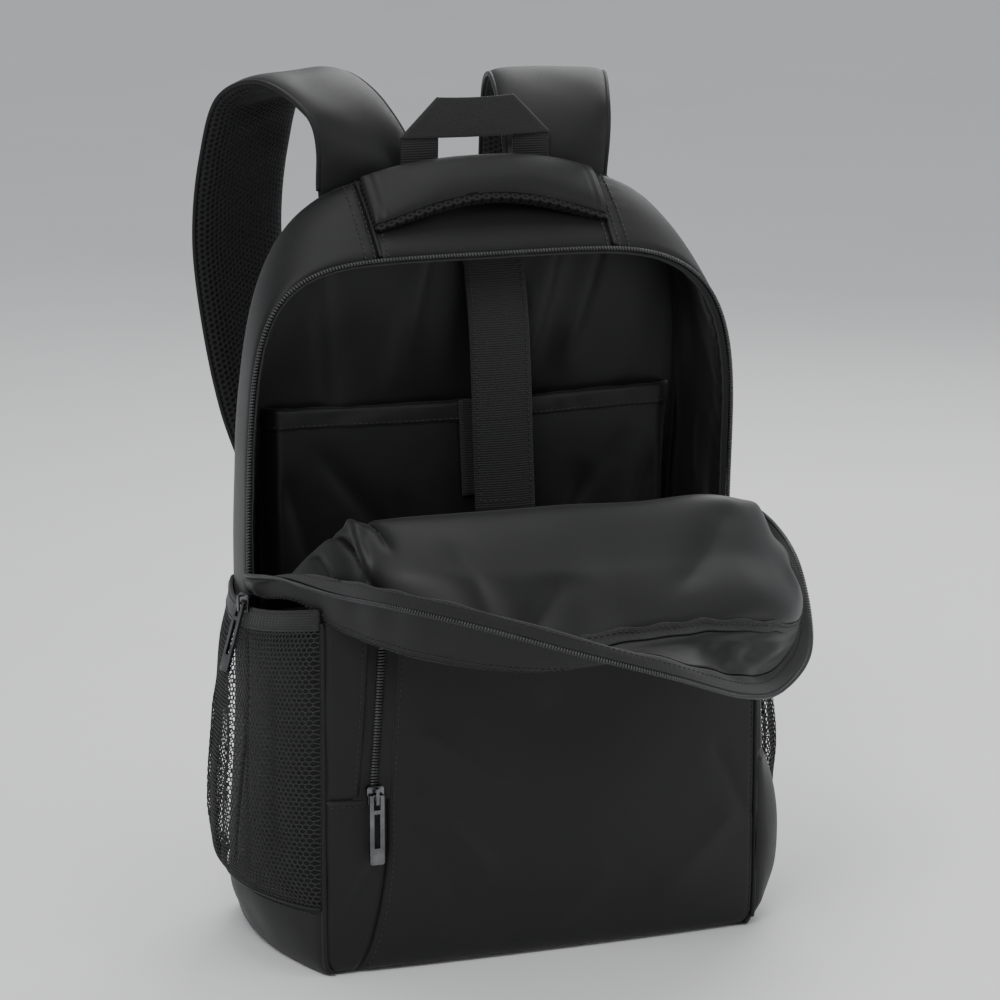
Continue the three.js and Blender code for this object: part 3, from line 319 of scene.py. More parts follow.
def stitchRow(lump, path, outward, length=2.6, gap=1.1, radius=0.32, lift=0.12):
    # Thread stitches along a path; outward is one way for all, or one for each point of the path
    path = np.asarray(path, float)
    outward = np.broadcast_to(np.asarray(outward, float), path.shape)
    lengths = np.concatenate([[0], np.cumsum(np.linalg.norm(np.diff(path, axis=0), axis=1))])
    if lengths[-1] < length:
        return
    for start in np.arange(gap, lengths[-1] - length, length + gap):
        places = [np.array([np.interp(start + length * s, lengths, path[:, k]) for k in range(3)])
                  for s in (0, 0.25, 0.75, 1)]
        out = np.array([np.interp(start + length / 2, lengths, outward[:, k]) for k in range(3)])
        out /= max(np.linalg.norm(out), 1e-9)
        way = places[3] - places[0]
        side = np.cross(way, out)
        side /= max(np.linalg.norm(side), 1e-9)
        corners, faces = [], []
        for share, place in zip((0, 0.25, 0.75, 1), places):
            sink = -0.35 if share in (0, 1) else lift
            thin = 0.45 if share in (0, 1) else 1
            for k in range(5):
                turn = 2 * math.pi * k / 5
                corners.append(place + out * (sink + radius * thin * math.sin(turn)) + side * radius
                               * thin * math.cos(turn))
        for ring in range(3):
            for k in range(5):
                one, two = ring * 5 + k, ring * 5 + (k + 1) % 5
                faces.append((one, two, two + 5, one + 5))
        faces.append((4, 3, 2, 1, 0))
        faces.append((15, 16, 17, 18, 19))
        lump.add(corners, faces)


def surfaceRow(grid, normals, a, u, lift):
    # The point of a grid at shares a, u, and its outward way
    rows, cols = grid.shape[:2]
    r, c = u * (rows - 1), a * (cols - 1)
    r0, c0 = min(int(r), rows - 2), min(int(c), cols - 2)
    fr, fc = r - r0, c - c0

    def blendOf(field):
        return mix(mix(field[r0, c0], field[r0, c0 + 1], fc),
                   mix(field[r0 + 1, c0], field[r0 + 1, c0 + 1], fc), fr)

    out = blendOf(normals)
    return blendOf(grid) + out * lift, out


def stitchOnCloth(lump, grid, line, lift, steps=80, **values):
    # Stitches on a cloth along line(share) -> (a, u), on the side that lift points to
    normals = normalsOf(grid)
    places = [surfaceRow(grid, normals, *line(k / steps), lift) for k in range(steps + 1)]
    sign = 1 if lift >= 0 else -1
    stitchRow(lump, [p for p, _ in places], [n * sign for _, n in places], **values)


def zipCoil(lump, path, outward, pitch=1.7, width=2.4, height=1.4):
    # Small slanted teeth along a path
    path = evenly(path, pitch)
    outward = np.broadcast_to(np.asarray(outward, float), path.shape) if np.ndim(outward) == 1 else outward
    tangents = np.gradient(path, axis=0)
    for index in range(0, len(path) - 1):
        along = tangents[index] / np.linalg.norm(tangents[index])
        out = outward[min(index, len(outward) - 1)]
        out = out - along * np.dot(out, along)
        out = out / max(np.linalg.norm(out), 1e-9)
        side = np.cross(along, out)
        slant = along * 0.35
        corners = []
        for end, s in ((-1, side - slant), (1, side + slant)):
            middle = path[index] + end * (side * width / 2 + slant * 0.5)
            for da, do in ((-0.5, -0.5), (0.5, -0.5), (0.5, 0.5), (-0.5, 0.5)):
                corners.append(middle + along * da * pitch * 0.62 + out
                               * (do * height * (0.8 if end else 1)))
        middleRing = []
        for da, do in ((-0.5, -0.5), (0.5, -0.5), (0.5, 0.62), (-0.5, 0.62)):
            middleRing.append(path[index] + along * da * pitch * 0.7 + out * (do * height))
        corners = corners[:4] + middleRing + corners[4:]
        faces = [(3, 2, 1, 0), (8, 9, 10, 11)]
        for ring in range(2):
            for k in range(4):
                one, two = ring * 4 + k, ring * 4 + (k + 1) % 4
                faces.append((one, two, two + 4, one + 4))
        lump.add(corners, faces)


def addLump(name, lump, material, nodes=(), body="bag"):
    mesh = meshFrom(name, lump.points, lump.faces)
    return addObject(name, mesh, material, nodes, body)


# Materials. Weave follows the cloth's own run across and along it, in metres.

def newMaterial(name):
    material = bpy.data.materials.new(name)
    material.use_nodes = True
    tree = material.node_tree
    shader = tree.nodes["Principled BSDF"]
    return material, tree, shader


def addNode(tree, kind, inputs=None, **settings):
    node = tree.nodes.new(kind)
    for key, value in settings.items():
        setattr(node, key, value)
    for key, value in (inputs or {}).items():
        if isinstance(value, bpy.types.NodeSocket):
            tree.links.new(value, node.inputs[key])
        else:
            node.inputs[key].default_value = value
    return node


def mathOf(tree, operation, one, two=0.0, third=None):
    node = tree.nodes.new("ShaderNodeMath")
    node.operation = operation
    for index, value in enumerate((one, two, third)):
        if value is None:
            continue
        if isinstance(value, bpy.types.NodeSocket):
            tree.links.new(value, node.inputs[index])
        else:
            node.inputs[index].default_value = value
    return node.outputs[0]


def noiseOf(tree, coords, scale, detail=4.0, roughness=0.55):
    return addNode(tree, "ShaderNodeTexNoise", {"Vector": coords, "Scale": scale, "Detail": detail,
                                                "Roughness": roughness}).outputs["Fac"]


def rampOf(tree, factor, stops):
    ramp = tree.nodes.new("ShaderNodeValToRGB")
    tree.links.new(factor, ramp.inputs["Fac"])
    elements = ramp.color_ramp.elements
    while len(elements) < len(stops):
        elements.new(0.5)
    for element, (place, colour) in zip(elements, stops):
        element.position = place
        element.color = (*colour, 1)
    return ramp.outputs["Color"]


def greyTone(value, warm=1.0):
    return (value * warm, value, value * 1.04)


def wovenThreads(tree, uv, pitchAcross, pitchAlong):
    # Plain weave: one thread goes over where the other goes under, 0 to 1
    split = addNode(tree, "ShaderNodeSeparateXYZ", {"Vector": uv})
    x = mathOf(tree, "MULTIPLY", split.outputs["X"], 2 * math.pi / pitchAcross)
    y = mathOf(tree, "MULTIPLY", split.outputs["Y"], 2 * math.pi / pitchAlong)
    product = mathOf(tree, "MULTIPLY", mathOf(tree, "SINE", x), mathOf(tree, "SINE", y))
    return mathOf(tree, "MULTIPLY_ADD", product, 0.5, 0.5)


def finishMaterial(tree, shader, height, strength, distance, base=None):
    bumpNode = addNode(tree, "ShaderNodeBump", {"Height": height, "Strength": strength,
                                                "Distance": distance})
    if base is not None:
        tree.links.new(base, bumpNode.inputs["Normal"])
    tree.links.new(bumpNode.outputs["Normal"], shader.inputs["Normal"])
    return bumpNode.outputs["Normal"]


def clothMaterial(name, values):
    material, tree, shader = newMaterial(name)
    uv = addNode(tree, "ShaderNodeTexCoord").outputs["UV"]
    solid = addNode(tree, "ShaderNodeTexCoord").outputs["Object"]
    weave = wovenThreads(tree, uv, values["threadAcross"] * mm, values["threadAlong"] * mm)
    cloud = noiseOf(tree, solid, values["cloudScale"], 3.0)
    grain = noiseOf(tree, solid, values["grainScale"], 2.0)
    # The colour mixes a random cloudy tone with painted shade: where the weave is low, under a crossing
    # thread, it is coloured darker.
    toneAndShade = mathOf(tree, "MULTIPLY_ADD", weave, values["weaveShade"],
                  mathOf(tree, "MULTIPLY", cloud, 1 - values["weaveShade"]))
    colour = rampOf(tree, toneAndShade, [(0.2, greyTone(values["dark"])), (0.8, greyTone(values["light"]))])
    tree.links.new(colour, shader.inputs["Base Color"])
    rough = mathOf(tree, "MULTIPLY_ADD", cloud, values["roughSpread"],
                   values["rough"] - values["roughSpread"] / 2)
    tree.links.new(rough, shader.inputs["Roughness"])
    height = mathOf(tree, "MULTIPLY_ADD", grain, values["grainHeight"],
                    mathOf(tree, "MULTIPLY", weave, values["weaveHeight"]))
    finishMaterial(tree, shader, height, values["bumpStrength"], values["bumpDistance"] * mm)
    shader.inputs["Specular IOR Level"].default_value = values["specular"]
    shader.inputs["Sheen Weight"].default_value = values["sheen"]
    shader.inputs["Sheen Roughness"].default_value = 0.45
    return material


coatedValues = {"threadAcross": 0.8, "threadAlong": 0.8, "cloudScale": 14, "grainScale": 900,
                "weaveShade": 0.35,
                "dark": 0.003, "light": 0.008, "rough": 0.52, "roughSpread": 0.12, "grainHeight": 0.5,
                "weaveHeight": 0.6,
                "bumpStrength": 0.35, "bumpDistance": 0.25, "specular": 0.3, "sheen": 0.05}
coatedCloth = clothMaterial("coatedCloth", coatedValues)
satinValues = {"threadAcross": 0.45, "threadAlong": 0.9, "cloudScale": 20, "grainScale": 1400,
               "weaveShade": 0.3,
               "dark": 0.0035, "light": 0.009, "rough": 0.46, "roughSpread": 0.1, "grainHeight": 0.3,
               "weaveHeight": 0.4,
               "bumpStrength": 0.22, "bumpDistance": 0.15, "specular": 0.3, "sheen": 0.1}
satinLining = clothMaterial("satinLining", satinValues)
padNetValues = {"cell": 3.6, "holeShade": 0.0008, "thread": 0.013, "rough": 0.75, "depth": 1.5, "fuzzScale": 700}


def spacerNet(name, values):
    # Thick net with round holes in a honeycomb: three waves that lie a third of a turn apart
    material, tree, shader = newMaterial(name)
    split = addNode(tree, "ShaderNodeSeparateXYZ",
                    {"Vector": addNode(tree, "ShaderNodeTexCoord").outputs["UV"]})
    waves = []
    for turn in (0, math.pi / 3, 2 * math.pi / 3):
        reach = 4 * math.pi / math.sqrt(3) / (values["cell"] * mm)
        along = mathOf(tree, "MULTIPLY", split.outputs["X"], reach * math.cos(turn))
        waves.append(mathOf(tree, "COSINE", mathOf(tree, "MULTIPLY_ADD", split.outputs["Y"],
                                                   reach * math.sin(turn), along)))
    total = mathOf(tree, "ADD", mathOf(tree, "ADD", waves[0], waves[1]), waves[2])
    holes = mathOf(tree, "MULTIPLY_ADD", total, 0.222, 0.333)
    fuzz = noiseOf(tree, addNode(tree, "ShaderNodeTexCoord").outputs["Object"], values["fuzzScale"], 2.0)
    # The holes are coloured near-black as painted shade in them; the threads keep the net's dark grey.
    tree.links.new(rampOf(tree, holes,
                          [(0.28, greyTone(values["thread"])), (0.5, greyTone(values["holeShade"]))]),
                   shader.inputs["Base Color"])
    tree.links.new(mathOf(tree, "MULTIPLY_ADD", fuzz, 0.15, values["rough"]), shader.inputs["Roughness"])
    height = mathOf(tree, "MULTIPLY_ADD", holes, -1.0, mathOf(tree, "MULTIPLY_ADD", fuzz, 0.12, 1.0))
    finishMaterial(tree, shader, height, 0.9, values["depth"] * mm)
    shader.inputs["Specular IOR Level"].default_value = 0.3
    return material


paddedNet = spacerNet("paddedNet", padNetValues)


def ribbedMaterial(name, values):
    # Webbing, binding and elastic: ribs across the run, with fine slanted threads
    material, tree, shader = newMaterial(name)
    uv = addNode(tree, "ShaderNodeTexCoord").outputs["UV"]
    split = addNode(tree, "ShaderNodeSeparateXYZ", {"Vector": uv})
    ribWay = split.outputs[values["ribsAlong"]]
    otherWay = split.outputs["X" if values["ribsAlong"] == "Y" else "Y"]
    rib = mathOf(tree, "SINE", mathOf(tree, "MULTIPLY", ribWay, 2 * math.pi / (values["rib"] * mm)))
    slant = mathOf(tree, "ADD", mathOf(tree, "MULTIPLY", otherWay, 2 * math.pi / (values["thread"] * mm)),
                   mathOf(tree, "MULTIPLY", rib, 0.9))
    thread = mathOf(tree, "SINE", slant)
    height = mathOf(tree, "MULTIPLY_ADD", rib, 0.35, mathOf(tree, "MULTIPLY_ADD", thread, 0.15, 0.5))
    fuzz = noiseOf(tree, addNode(tree, "ShaderNodeTexCoord").outputs["Object"], 500, 2.0)
    # The colour follows the rib height: the grooves between ribs and threads are coloured darker as painted
    # shade, and the fuzz adds random tone.
    toneAndShade = mathOf(tree, "MULTIPLY_ADD", fuzz, 0.3, mathOf(tree, "MULTIPLY", height, 0.7))
    tree.links.new(rampOf(tree, toneAndShade, [(0.2, greyTone(values["dark"])), (0.85, greyTone(values["light"]))]),
                   shader.inputs["Base Color"])
    tree.links.new(mathOf(tree, "MULTIPLY_ADD", toneAndShade, -0.1, values["rough"]), shader.inputs["Roughness"])
    finishMaterial(tree, shader, height, 0.7, values["depth"] * mm)
    shader.inputs["Specular IOR Level"].default_value = 0.35
    shader.inputs["Sheen Weight"].default_value = 0.15
    return material


ribbedWebbing = ribbedMaterial("ribbedWebbing", {"ribsAlong": "Y", "rib": 1.5, "thread": 1.1,
                                                 "dark": 0.002, "light": 0.016,
                                                 "rough": 0.72, "depth": 0.5})
ribbedBinding = ribbedMaterial("ribbedBinding", {"ribsAlong": "X", "rib": 1.2, "thread": 0.9,
                                                 "dark": 0.004, "light": 0.02,
                                                 "rough": 0.68, "depth": 0.35})
elasticBand = ribbedMaterial("elasticBand", {"ribsAlong": "Y", "rib": 1.6, "thread": 1.0, "dark": 0.003,
                                             "light": 0.011, "rough": 0.66, "depth": 0.4})
wovenTape = ribbedMaterial("wovenTape", {"ribsAlong": "X", "rib": 0.9, "thread": 0.7, "dark": 0.003,
                                         "light": 0.012, "rough": 0.82, "depth": 0.3})


def plainMaterial(name, values):
    material, tree, shader = newMaterial(name)
    solid = addNode(tree, "ShaderNodeTexCoord").outputs["Object"]
    cloud = noiseOf(tree, solid, values["cloud"], 4.0)
    tree.links.new(rampOf(tree, cloud, [(0.3, greyTone(values["dark"])), (0.7, greyTone(values["light"]))]),
                   shader.inputs["Base Color"])
    tree.links.new(mathOf(tree, "MULTIPLY_ADD", cloud, 0.15, values["rough"]), shader.inputs["Roughness"])
    finishMaterial(tree, shader, noiseOf(tree, solid, values["fine"], 2.0), values["bump"], 0.1 * mm)
    shader.inputs["Metallic"].default_value = values["metal"]
    shader.inputs["Specular IOR Level"].default_value = 0.5
    return material


netThread = plainMaterial("netThread", {"cloud": 40, "dark": 0.009, "light": 0.018, "rough": 0.6,
                                        "fine": 1500, "bump": 0.3, "metal": 0})
sewingThread = plainMaterial("sewingThread", {"cloud": 60, "dark": 0.012, "light": 0.028, "rough": 0.5,
                                              "fine": 2000, "bump": 0.3, "metal": 0})
# The teeth are coloured lighter than the cloth, in part as painted highlight; their low roughness gives real
# highlights as well.
nylonCoil = plainMaterial("nylonCoil", {"cloud": 80, "dark": 0.018, "light": 0.03, "rough": 0.28,
                                        "fine": 900, "bump": 0.1, "metal": 0})
gunmetal = plainMaterial("gunmetal", {"cloud": 120, "dark": 0.1, "light": 0.18, "rough": 0.2,
                                      "fine": 1200, "bump": 0.12, "metal": 1})
mouldedPlastic = plainMaterial("mouldedPlastic", {"cloud": 60, "dark": 0.004, "light": 0.008,
                                                  "rough": 0.38, "fine": 1600, "bump": 0.3, "metal": 0})
print("stage: materials")


# Shape of the body, the same as the frame's

body = {"halfWidth": 157, "backY": 80, "frontY": -76, "rimY": 14, "rimHeight": 417, "topHeight": 460,
        "shoulder": 228, "backLean": 32, "seamX": 75, "baseBand": 42, "edgeRadius": 12, "sideSag": 10,
        "archSide": 0.42}
halfWidth, backY, frontY, rimY = body["halfWidth"], body["backY"], body["frontY"], body["rimY"]
rimHeight, topHeight, shoulder = body["rimHeight"], body["topHeight"], body["shoulder"]
seamX, baseBand, archSide = body["seamX"], body["baseBand"], body["archSide"]
widthTable = [(0, 0.885), (0.05, 0.907), (0.17, 0.945), (0.36, 0.985), (0.58, 1), (0.78, 0.982),
              (0.92, 0.95), (1, 0.918)]


def point(x, y, z):
    return np.array([x, y, z], float)


def depthShare(y):
    return min(max((y - frontY) / (backY - frontY), 0), 1)


def bodyHalfWidth(y):
    return halfWidth * readSmooth(widthTable, depthShare(y))


def edgeInset(z):
    below = min(max((body["edgeRadius"] - z) / body["edgeRadius"], 0), 1)
    return body["edgeRadius"] * 0.6 * (1 - math.sqrt(1 - below ** 2 * 0.96))


def sideX(y, z):
    middle = math.sin(math.pi * depthShare(y)) ** 0.8
    sag = body["sideSag"] * smooth(z / 34) * (1 - smooth((z - baseBand) / 120)) * middle
    return bodyHalfWidth(y) - edgeInset(z) + float(sag)


def sideAt(side, y, z):
    return point(side * sideX(y, z), y, z)


def rimYAt(z):
    return rimY * (1 - float(smooth((z - shoulder) / (rimHeight - shoulder))))


def backYAt(z):
    risen = (z - shoulder) / (topHeight - shoulder)
    return backY - body["backLean"] * float(smooth(risen * 0.92) / smooth(0.92))


def archPoint(side, depth, along):
    squareness = mix(5.6 if side < 0 else 4.5, 4.3, depth)
    height = mix(rimHeight, topHeight, depth) + math.sin(math.pi * depth) * 3 - shoulder
    widthShare = 1
    if along <= archSide:
        z = shoulder * along / archSide
    else:
        angle = (along - archSide) / (1 - archSide) * math.pi / 2
        c, s = max(math.cos(angle), 0), math.sin(angle)
        reach = (c ** squareness + s ** squareness) ** (-1 / squareness)
        z = shoulder + height * s * reach
        widthShare = c * reach
    lowY = mix(rimY, backY, depth)
    return point(side * sideX(lowY, z) * widthShare, mix(rimYAt(z), backYAt(z), depth), z)


def alongAtHeight(z):
    return archSide * z / shoulder


def alongAtSeam(side, depth, x):
    low, high = archSide, 1.0
    for _ in range(26):
        middle = (low + high) / 2
        if abs(archPoint(side, depth, middle)[0]) > x:
            low = middle
        else:
            high = middle
    return (low + high) / 2


def wholeArch(depth, way):
    return archPoint(-1, depth, way * 2) if way <= 0.5 else archPoint(1, depth, 2 - way * 2)


def archInward(depth, way):
    # The way into the bag, across its arch
    step = 0.004
    along = wholeArch(depth, min(way + step, 1)) - wholeArch(depth, max(way - step, 0))
    back = wholeArch(min(depth + 0.05, 1), way) - wholeArch(max(depth - 0.05, 0), way)
    inward = np.cross(back, along)
    return inward / np.linalg.norm(inward)


stitches = Lump()      # all the thread on the body that stays at rest with it

# Coated walls behind the zip: two sides, and the top between its two seams
gusset = {"thickness": 1.6, "dip": 1.6, "dipReach": 4.5, "wave": 0.9, "waveSize": 120, "seamGather": 0.7}
seamGap = 0.35
for side, name in ((-1, "left"), (1, "right")):
    def rearSide(depth, up, side=side):
        share = depth if side < 0 else 1 - depth
        low = alongAtHeight(baseBand + seamGap)
        high = alongAtSeam(side, share, seamX)
        return archPoint(side, share, mix(low, high, up))

    def sideRelief(grid, a, u):
        wave = ripple(grid, gusset["waveSize"], 3) * gusset["wave"] * (0.4 + 0.6 * u)
        puckers = np.sin(a * 44) * bump(u, 1, 0.07) * gusset["seamGather"] * 0.5
        dips = seamDip(grid, a, u, ("left", "right", "bottom", "top"), gusset["dip"], gusset["dipReach"])
        return dips + wave * 0.6 + puckers

    _, sideGrid = addCloth(f"rearSide_{name}", rearSide, 18, 120, 0.0, gusset["thickness"], coatedCloth,
                           [f"gusset_{name}"], sideRelief)
    for fromSeam in (0.009, 0.024):
        stitchOnCloth(stitches, sideGrid, lambda s, v=1 - fromSeam: (s, v), -0.3, radius=0.45)
    seamRidge = [archPoint(side, d, alongAtSeam(side, d, seamX)) + point(0, 0, -0.2)
                 for d in np.linspace(0.02, 0.98, 30)]
    addObject(f"topSeam_{name}", tubeMesh(f"topSeam_{name}", seamRidge, 1.3), coatedCloth,
              [])


def rearTop(depth, across):
    left = alongAtSeam(-1, depth, seamX) / 2
    right = 1 - alongAtSeam(1, depth, seamX) / 2
    return wholeArch(depth, mix(left, right, across))


def topRelief(grid, a, u):
    puckers = np.sin(a * 40) * (bump(u, 0, 0.1) + bump(u, 1, 0.1)) * gusset["seamGather"] * 0.5
    dips = seamDip(grid, a, u, ("left", "right", "bottom", "top"), gusset["dip"], gusset["dipReach"])
    return dips + puckers + ripple(grid, 90, 5) * 0.5


_, topGrid = addCloth("rearTop", rearTop, 18, 60, 0.0, gusset["thickness"], coatedCloth,
                      ["gusset_top"], topRelief)
for u in (0.028, 0.972):
    stitchOnCloth(stitches, topGrid, lambda s, u=u: (s, u), -0.3, radius=0.45)
print("stage: walls behind the zip")

# Coated lower sides and the side walls before the zip
lowSide = {"thickness": 1.8, "topFront": 212, "topBack": 206}
for side, name in ((-1, "left"), (1, "right")):
    def turned(share, side=side):
        return share if side < 0 else 1 - share

    def baseSide(d, u, side=side):
        return sideAt(side, mix(frontY + 0.4, backY - 1, turned(d)), mix(0.4, baseBand + 1.5, u ** 1.3))

    def sideWall(d, u, side=side):
        y = mix(frontY + 0.4, rimY, turned(d))
        top = mix(lowSide["topFront"], lowSide["topBack"], float(smooth((y - frontY) / (rimY - frontY))))
        return sideAt(side, y, mix(baseBand + seamGap, top, u))

    _, baseGrid = addCloth(f"lowerSide_{name}", baseSide, 60, 20, 0.0, lowSide["thickness"], coatedCloth,
                           [f"base_side_{name}"],
                           lambda grid, a, u: seamDip(grid, a, u, ("left", "right", "top"), 1.6, 4)
                           + ripple(grid, 60, 8) * 0.7 * bump(u, 0.5, 0.6))
    stitchOnCloth(stitches, baseGrid, lambda s: (mix(0.02, 0.98, s), 0.91), -0.25, steps=100)
    addCloth(f"sideWall_{name}", sideWall, 30, 40, 0.0, lowSide["thickness"], coatedCloth,
             [f"side_wall_{name}"],
             lambda grid, a, u: seamDip(grid, a, u, ("left", "right", "bottom"), 1.5, 4)
             + ripple(grid, 70, 9) * 0.8 * bump(u, 0.5, 0.6))


def floorPlace(a, u):
    y = mix(frontY + 8, backY - 15, a)
    return point(mix(-1, 1, u) * (bodyHalfWidth(y) - edgeInset(0.4) - 2), y, 1.4)


addCloth("floorCloth", floorPlace, 20, 30, -1.3, 1.2, coatedCloth, ["base_floor"])
print("stage: sides and floor")

# Padded back: a coated pad with sewn channels, seen from behind
backPad = {"padding": 10, "crown": 3.2, "channelDepth": 2.6, "channelWidth": 5, "channels": (0.32, 0.68),
           "cross": (0.26, 0.5, 0.74)}
backStops = [(0, 0), (1 / 12, 0.024), (2 / 12, 0.07), (3 / 12, 0.13), (4 / 12, 0.2), (5 / 12, 0.29),
             (6 / 12, 0.39),
             (7 / 12, 0.5), (8 / 12, 0.61), (9 / 12, 0.72), (10 / 12, 0.83), (11 / 12, 0.93), (1, 1)]


def backShape(across, up, inset):
    way = mix(alongAtHeight(0.5), 0.8, up)
    end = archPoint(1, 1, way)
    height = topHeight - shoulder

    def archZ(x):
        return shoulder + height * max(1 - abs(x / bodyHalfWidth(backY)) ** 4.3, 0) ** (1 / 4.3)

    z = end[2] + (archZ(across * end[0]) - archZ(end[0])) * up ** 3 - inset * up ** 9
    return point(across * (end[0] - inset), backYAt(z) - edgeInset(z), z)


def thinAtTop(up):
    return 1 - 0.75 * float(smooth((up - 0.7) / 0.3))


def backOuter(a, u):
    return backShape(1 - 2 * a, readTable(backStops, u), 3.0)


def backRelief(grid, a, u):
    crown = backPad["crown"] * np.sin(np.pi * a) * np.sin(np.pi * np.clip(u, 0.02, 0.98))
    runA, runU = runs(grid)
    dent = np.zeros(a.shape)
    for channel in backPad["channels"]:
        away = np.abs(runA - runA[:, -1:] * channel)
        dent = np.maximum(dent, np.exp(-(away / backPad["channelWidth"]) ** 2) * bump(u, 0.5, 0.43))
    for channel in backPad["cross"]:
        away = np.abs(runU - runU[-1:, :] * channel)
        dent = np.maximum(dent, np.exp(-(away / backPad["channelWidth"]) ** 2) * bump(a, 0.5, 0.42))
    dips = seamDip(grid, a, u, ("left", "right", "bottom", "top"), 1.6, 7)
    return crown - dent * backPad["channelDepth"] - dips


backGrid0 = gridOf(backOuter, 56, 84)
padDepth = np.array([[[backPad["padding"] * thinAtTop(readTable(backStops, j / 84))] for i in range(57)]
                     for j in range(85)])
share = np.meshgrid(np.linspace(0, 1, 57), np.linspace(0, 1, 85))
backGrid = backGrid0 + normalsOf(backGrid0) * backRelief(backGrid0, share[0], share[1])[..., None]
backPiece = addObject("backPad", wallMesh("backPad", backGrid, -padDepth + 0.4, np.zeros_like(padDepth)),
                      coatedCloth, ["back_panel"])
for channel in backPad["channels"]:
    for off in (-0.012, 0.012):
        stitchOnCloth(stitches, backGrid, lambda s, c=channel + off: (c, mix(0.09, 0.91, s)), 0.25,
                      steps=120)
print("stage: back")

# Lining of the walls, from behind the zip tape to the back
lining = {"cloth": 0.9, "inset": 4.4, "foldDepth": 3.4, "foldSize": 46, "gather": 2.6, "gatherPitch": 13}
liningStart = alongAtHeight(5) / 2


def wallLining(depth, way):
    w = mix(liningStart, 1 - liningStart, way)
    d = mix(0.045, 0.97, depth)
    inset = lining["inset"] + 2.0 * float(smooth((d - 0.6) / 0.3))
    return wholeArch(d, w) + archInward(d, w) * inset


def liningRelief(grid, a, u):
    onSide = smooth((np.abs(u - 0.5) - 0.12) / 0.1)
    folds = ripple(grid * np.array([1.0, 1.0, 0.35]), lining["foldSize"], 21)
    runA, runU = runs(grid)
    pulled = runU + 7 * np.sin(runU * 0.061) + 4 * np.sin(runU * 0.023)
    ridges = np.abs(np.sin(pulled * np.pi / lining["gatherPitch"])) ** 0.7
    gathers = ridges * smooth(1 - a / 0.4) * lining["gather"]
    return (np.abs(folds) * lining["foldDepth"] * onSide * smooth(a / 0.2) * 0.8
            + np.abs(gathers) * (1 - 0.75 * onSide))


addCloth("wallLining", wallLining, 34, 320, 0.0, lining["cloth"], satinLining,
         ["wall_lining"], liningRelief)


def backLining(a, u):
    up = readTable(backStops, mix(1 / 12, 11 / 12, u))
    out = backShape(2 * a - 1, up, 4.6)
    return out - point(0, backPad["padding"] * thinAtTop(up) + 1.2, 0)


backLiningCreases = [((0.42, 0.98), (0.3, 0.66), 0.03, 5.0), ((0.74, 0.97), (0.6, 0.7), 0.03, 5.5),
                     ((0.84, 0.94), (0.7, 0.72), 0.025, 4.5), ((0.12, 0.9), (0.2, 0.64), 0.03, 4.6)]


def backLiningRelief(grid, a, u):
    drape = 0.5 + 0.5 * ripple(grid * np.array([1.0, 1.0, 0.6]), 55, 31)
    return drape * 2.6 * bump(u, 0.6, 0.5) + creases(a, u, backLiningCreases)


addCloth("backLining", backLining, 60, 90, 0.0, lining["cloth"], satinLining,
         ["back_lining"], backLiningRelief)

frontWall = {"y": frontY + 12, "top": 204}


def backWallPlace(a, u):
    z = mix(3.4, frontWall["top"], u)
    return point(mix(-1, 1, a) * (sideX(frontWall["y"], z) - 4), frontWall["y"], z)


addCloth("pocketBackWall", backWallPlace, 40, 40, -0.9, 0.0, satinLining, ["front_wall"],
         lambda grid, a, u: ripple(grid, 80, 33) * 1.2 * bump(u, 0.5, 0.5) - 0.6)
print("stage: lining")

# Laptop sleeve: padded sheet, its sides turned back to the lining, with a bound top edge
sleeve = {"top": 317, "y": 48, "halfWidth": 133, "cloth": 2.2, "binding": 10, "slack": 3.4}


def sleevePlace(across, z):
    turn = float(smooth((abs(across) - 0.94) / 0.06))
    back = backY - 10 - 1 - 1.6 - 2 + backYAt(z) - backY - edgeInset(z)
    topDip = 2.2 * math.cos(across * math.pi / 2) ** 2 * float(smooth((z - 200) / 117))
    return point(across * sleeve["halfWidth"], mix(sleeve["y"], back, turn), z - topDip)


sleeveCreases = [((0.1, 0.95), (0.42, 0.6), 0.03, 1.8), ((0.9, 0.95), (0.62, 0.62), 0.03, 1.6),
                 ((0.04, 0.9), (0.16, 0.55), 0.03, 3.2), ((0.96, 0.9), (0.84, 0.55), 0.03, 3.2),
                 ((0.3, 0.86), (0.4, 0.5), 0.05, 2.4), ((0.78, 0.88), (0.7, 0.6), 0.045, 2.6)]


def sleeveRelief(grid, a, u):
    waves = sleeve["slack"] * 0.6 * ripple(grid * np.array([1.0, 1.0, 0.5]), 70, 41)
    return waves * bump(u, 0.55, 0.5) * bump(a, 0.5, 0.47) - creases(a, u, sleeveCreases)


addCloth("laptopSleeve", lambda a, u: sleevePlace(2 * a - 1, mix(3.4, sleeve["top"] - 1, u)), 90, 80,
         -sleeve["cloth"], 0.0, satinLining, ["laptop_sleeve"], sleeveRelief)


def bindingPlace(a, u):
    # The binding folds over the sleeve's edge: up its face, over the top and down behind
    turn = u * (2 * sleeve["binding"] + 5)
    if turn < sleeve["binding"]:
        z, out = sleeve["top"] - sleeve["binding"] + turn, 0.5
    elif turn < sleeve["binding"] + 5:
        angle = (turn - sleeve["binding"]) / 5 * math.pi
        z, out = sleeve["top"] + 1.7 * math.sin(angle), mix(0.5, -3.0, (1 - math.cos(angle)) / 2)
    else:
        z, out = sleeve["top"] - (turn - sleeve["binding"] - 5), -3.0
    place = sleevePlace(2 * a - 1, z)
    return place - point(0, out, 0)


_, bindingGrid = addCloth("sleeveBinding", bindingPlace, 90, 24, 0.0, 0.8, satinLining,
                          ["sleeve_binding"], lambda grid, a, u: ripple(grid, 26, 43) * 0.5)
stitchOnCloth(stitches, bindingGrid, lambda s: (mix(0.01, 0.99, s), 0.07), 0.95, steps=200)

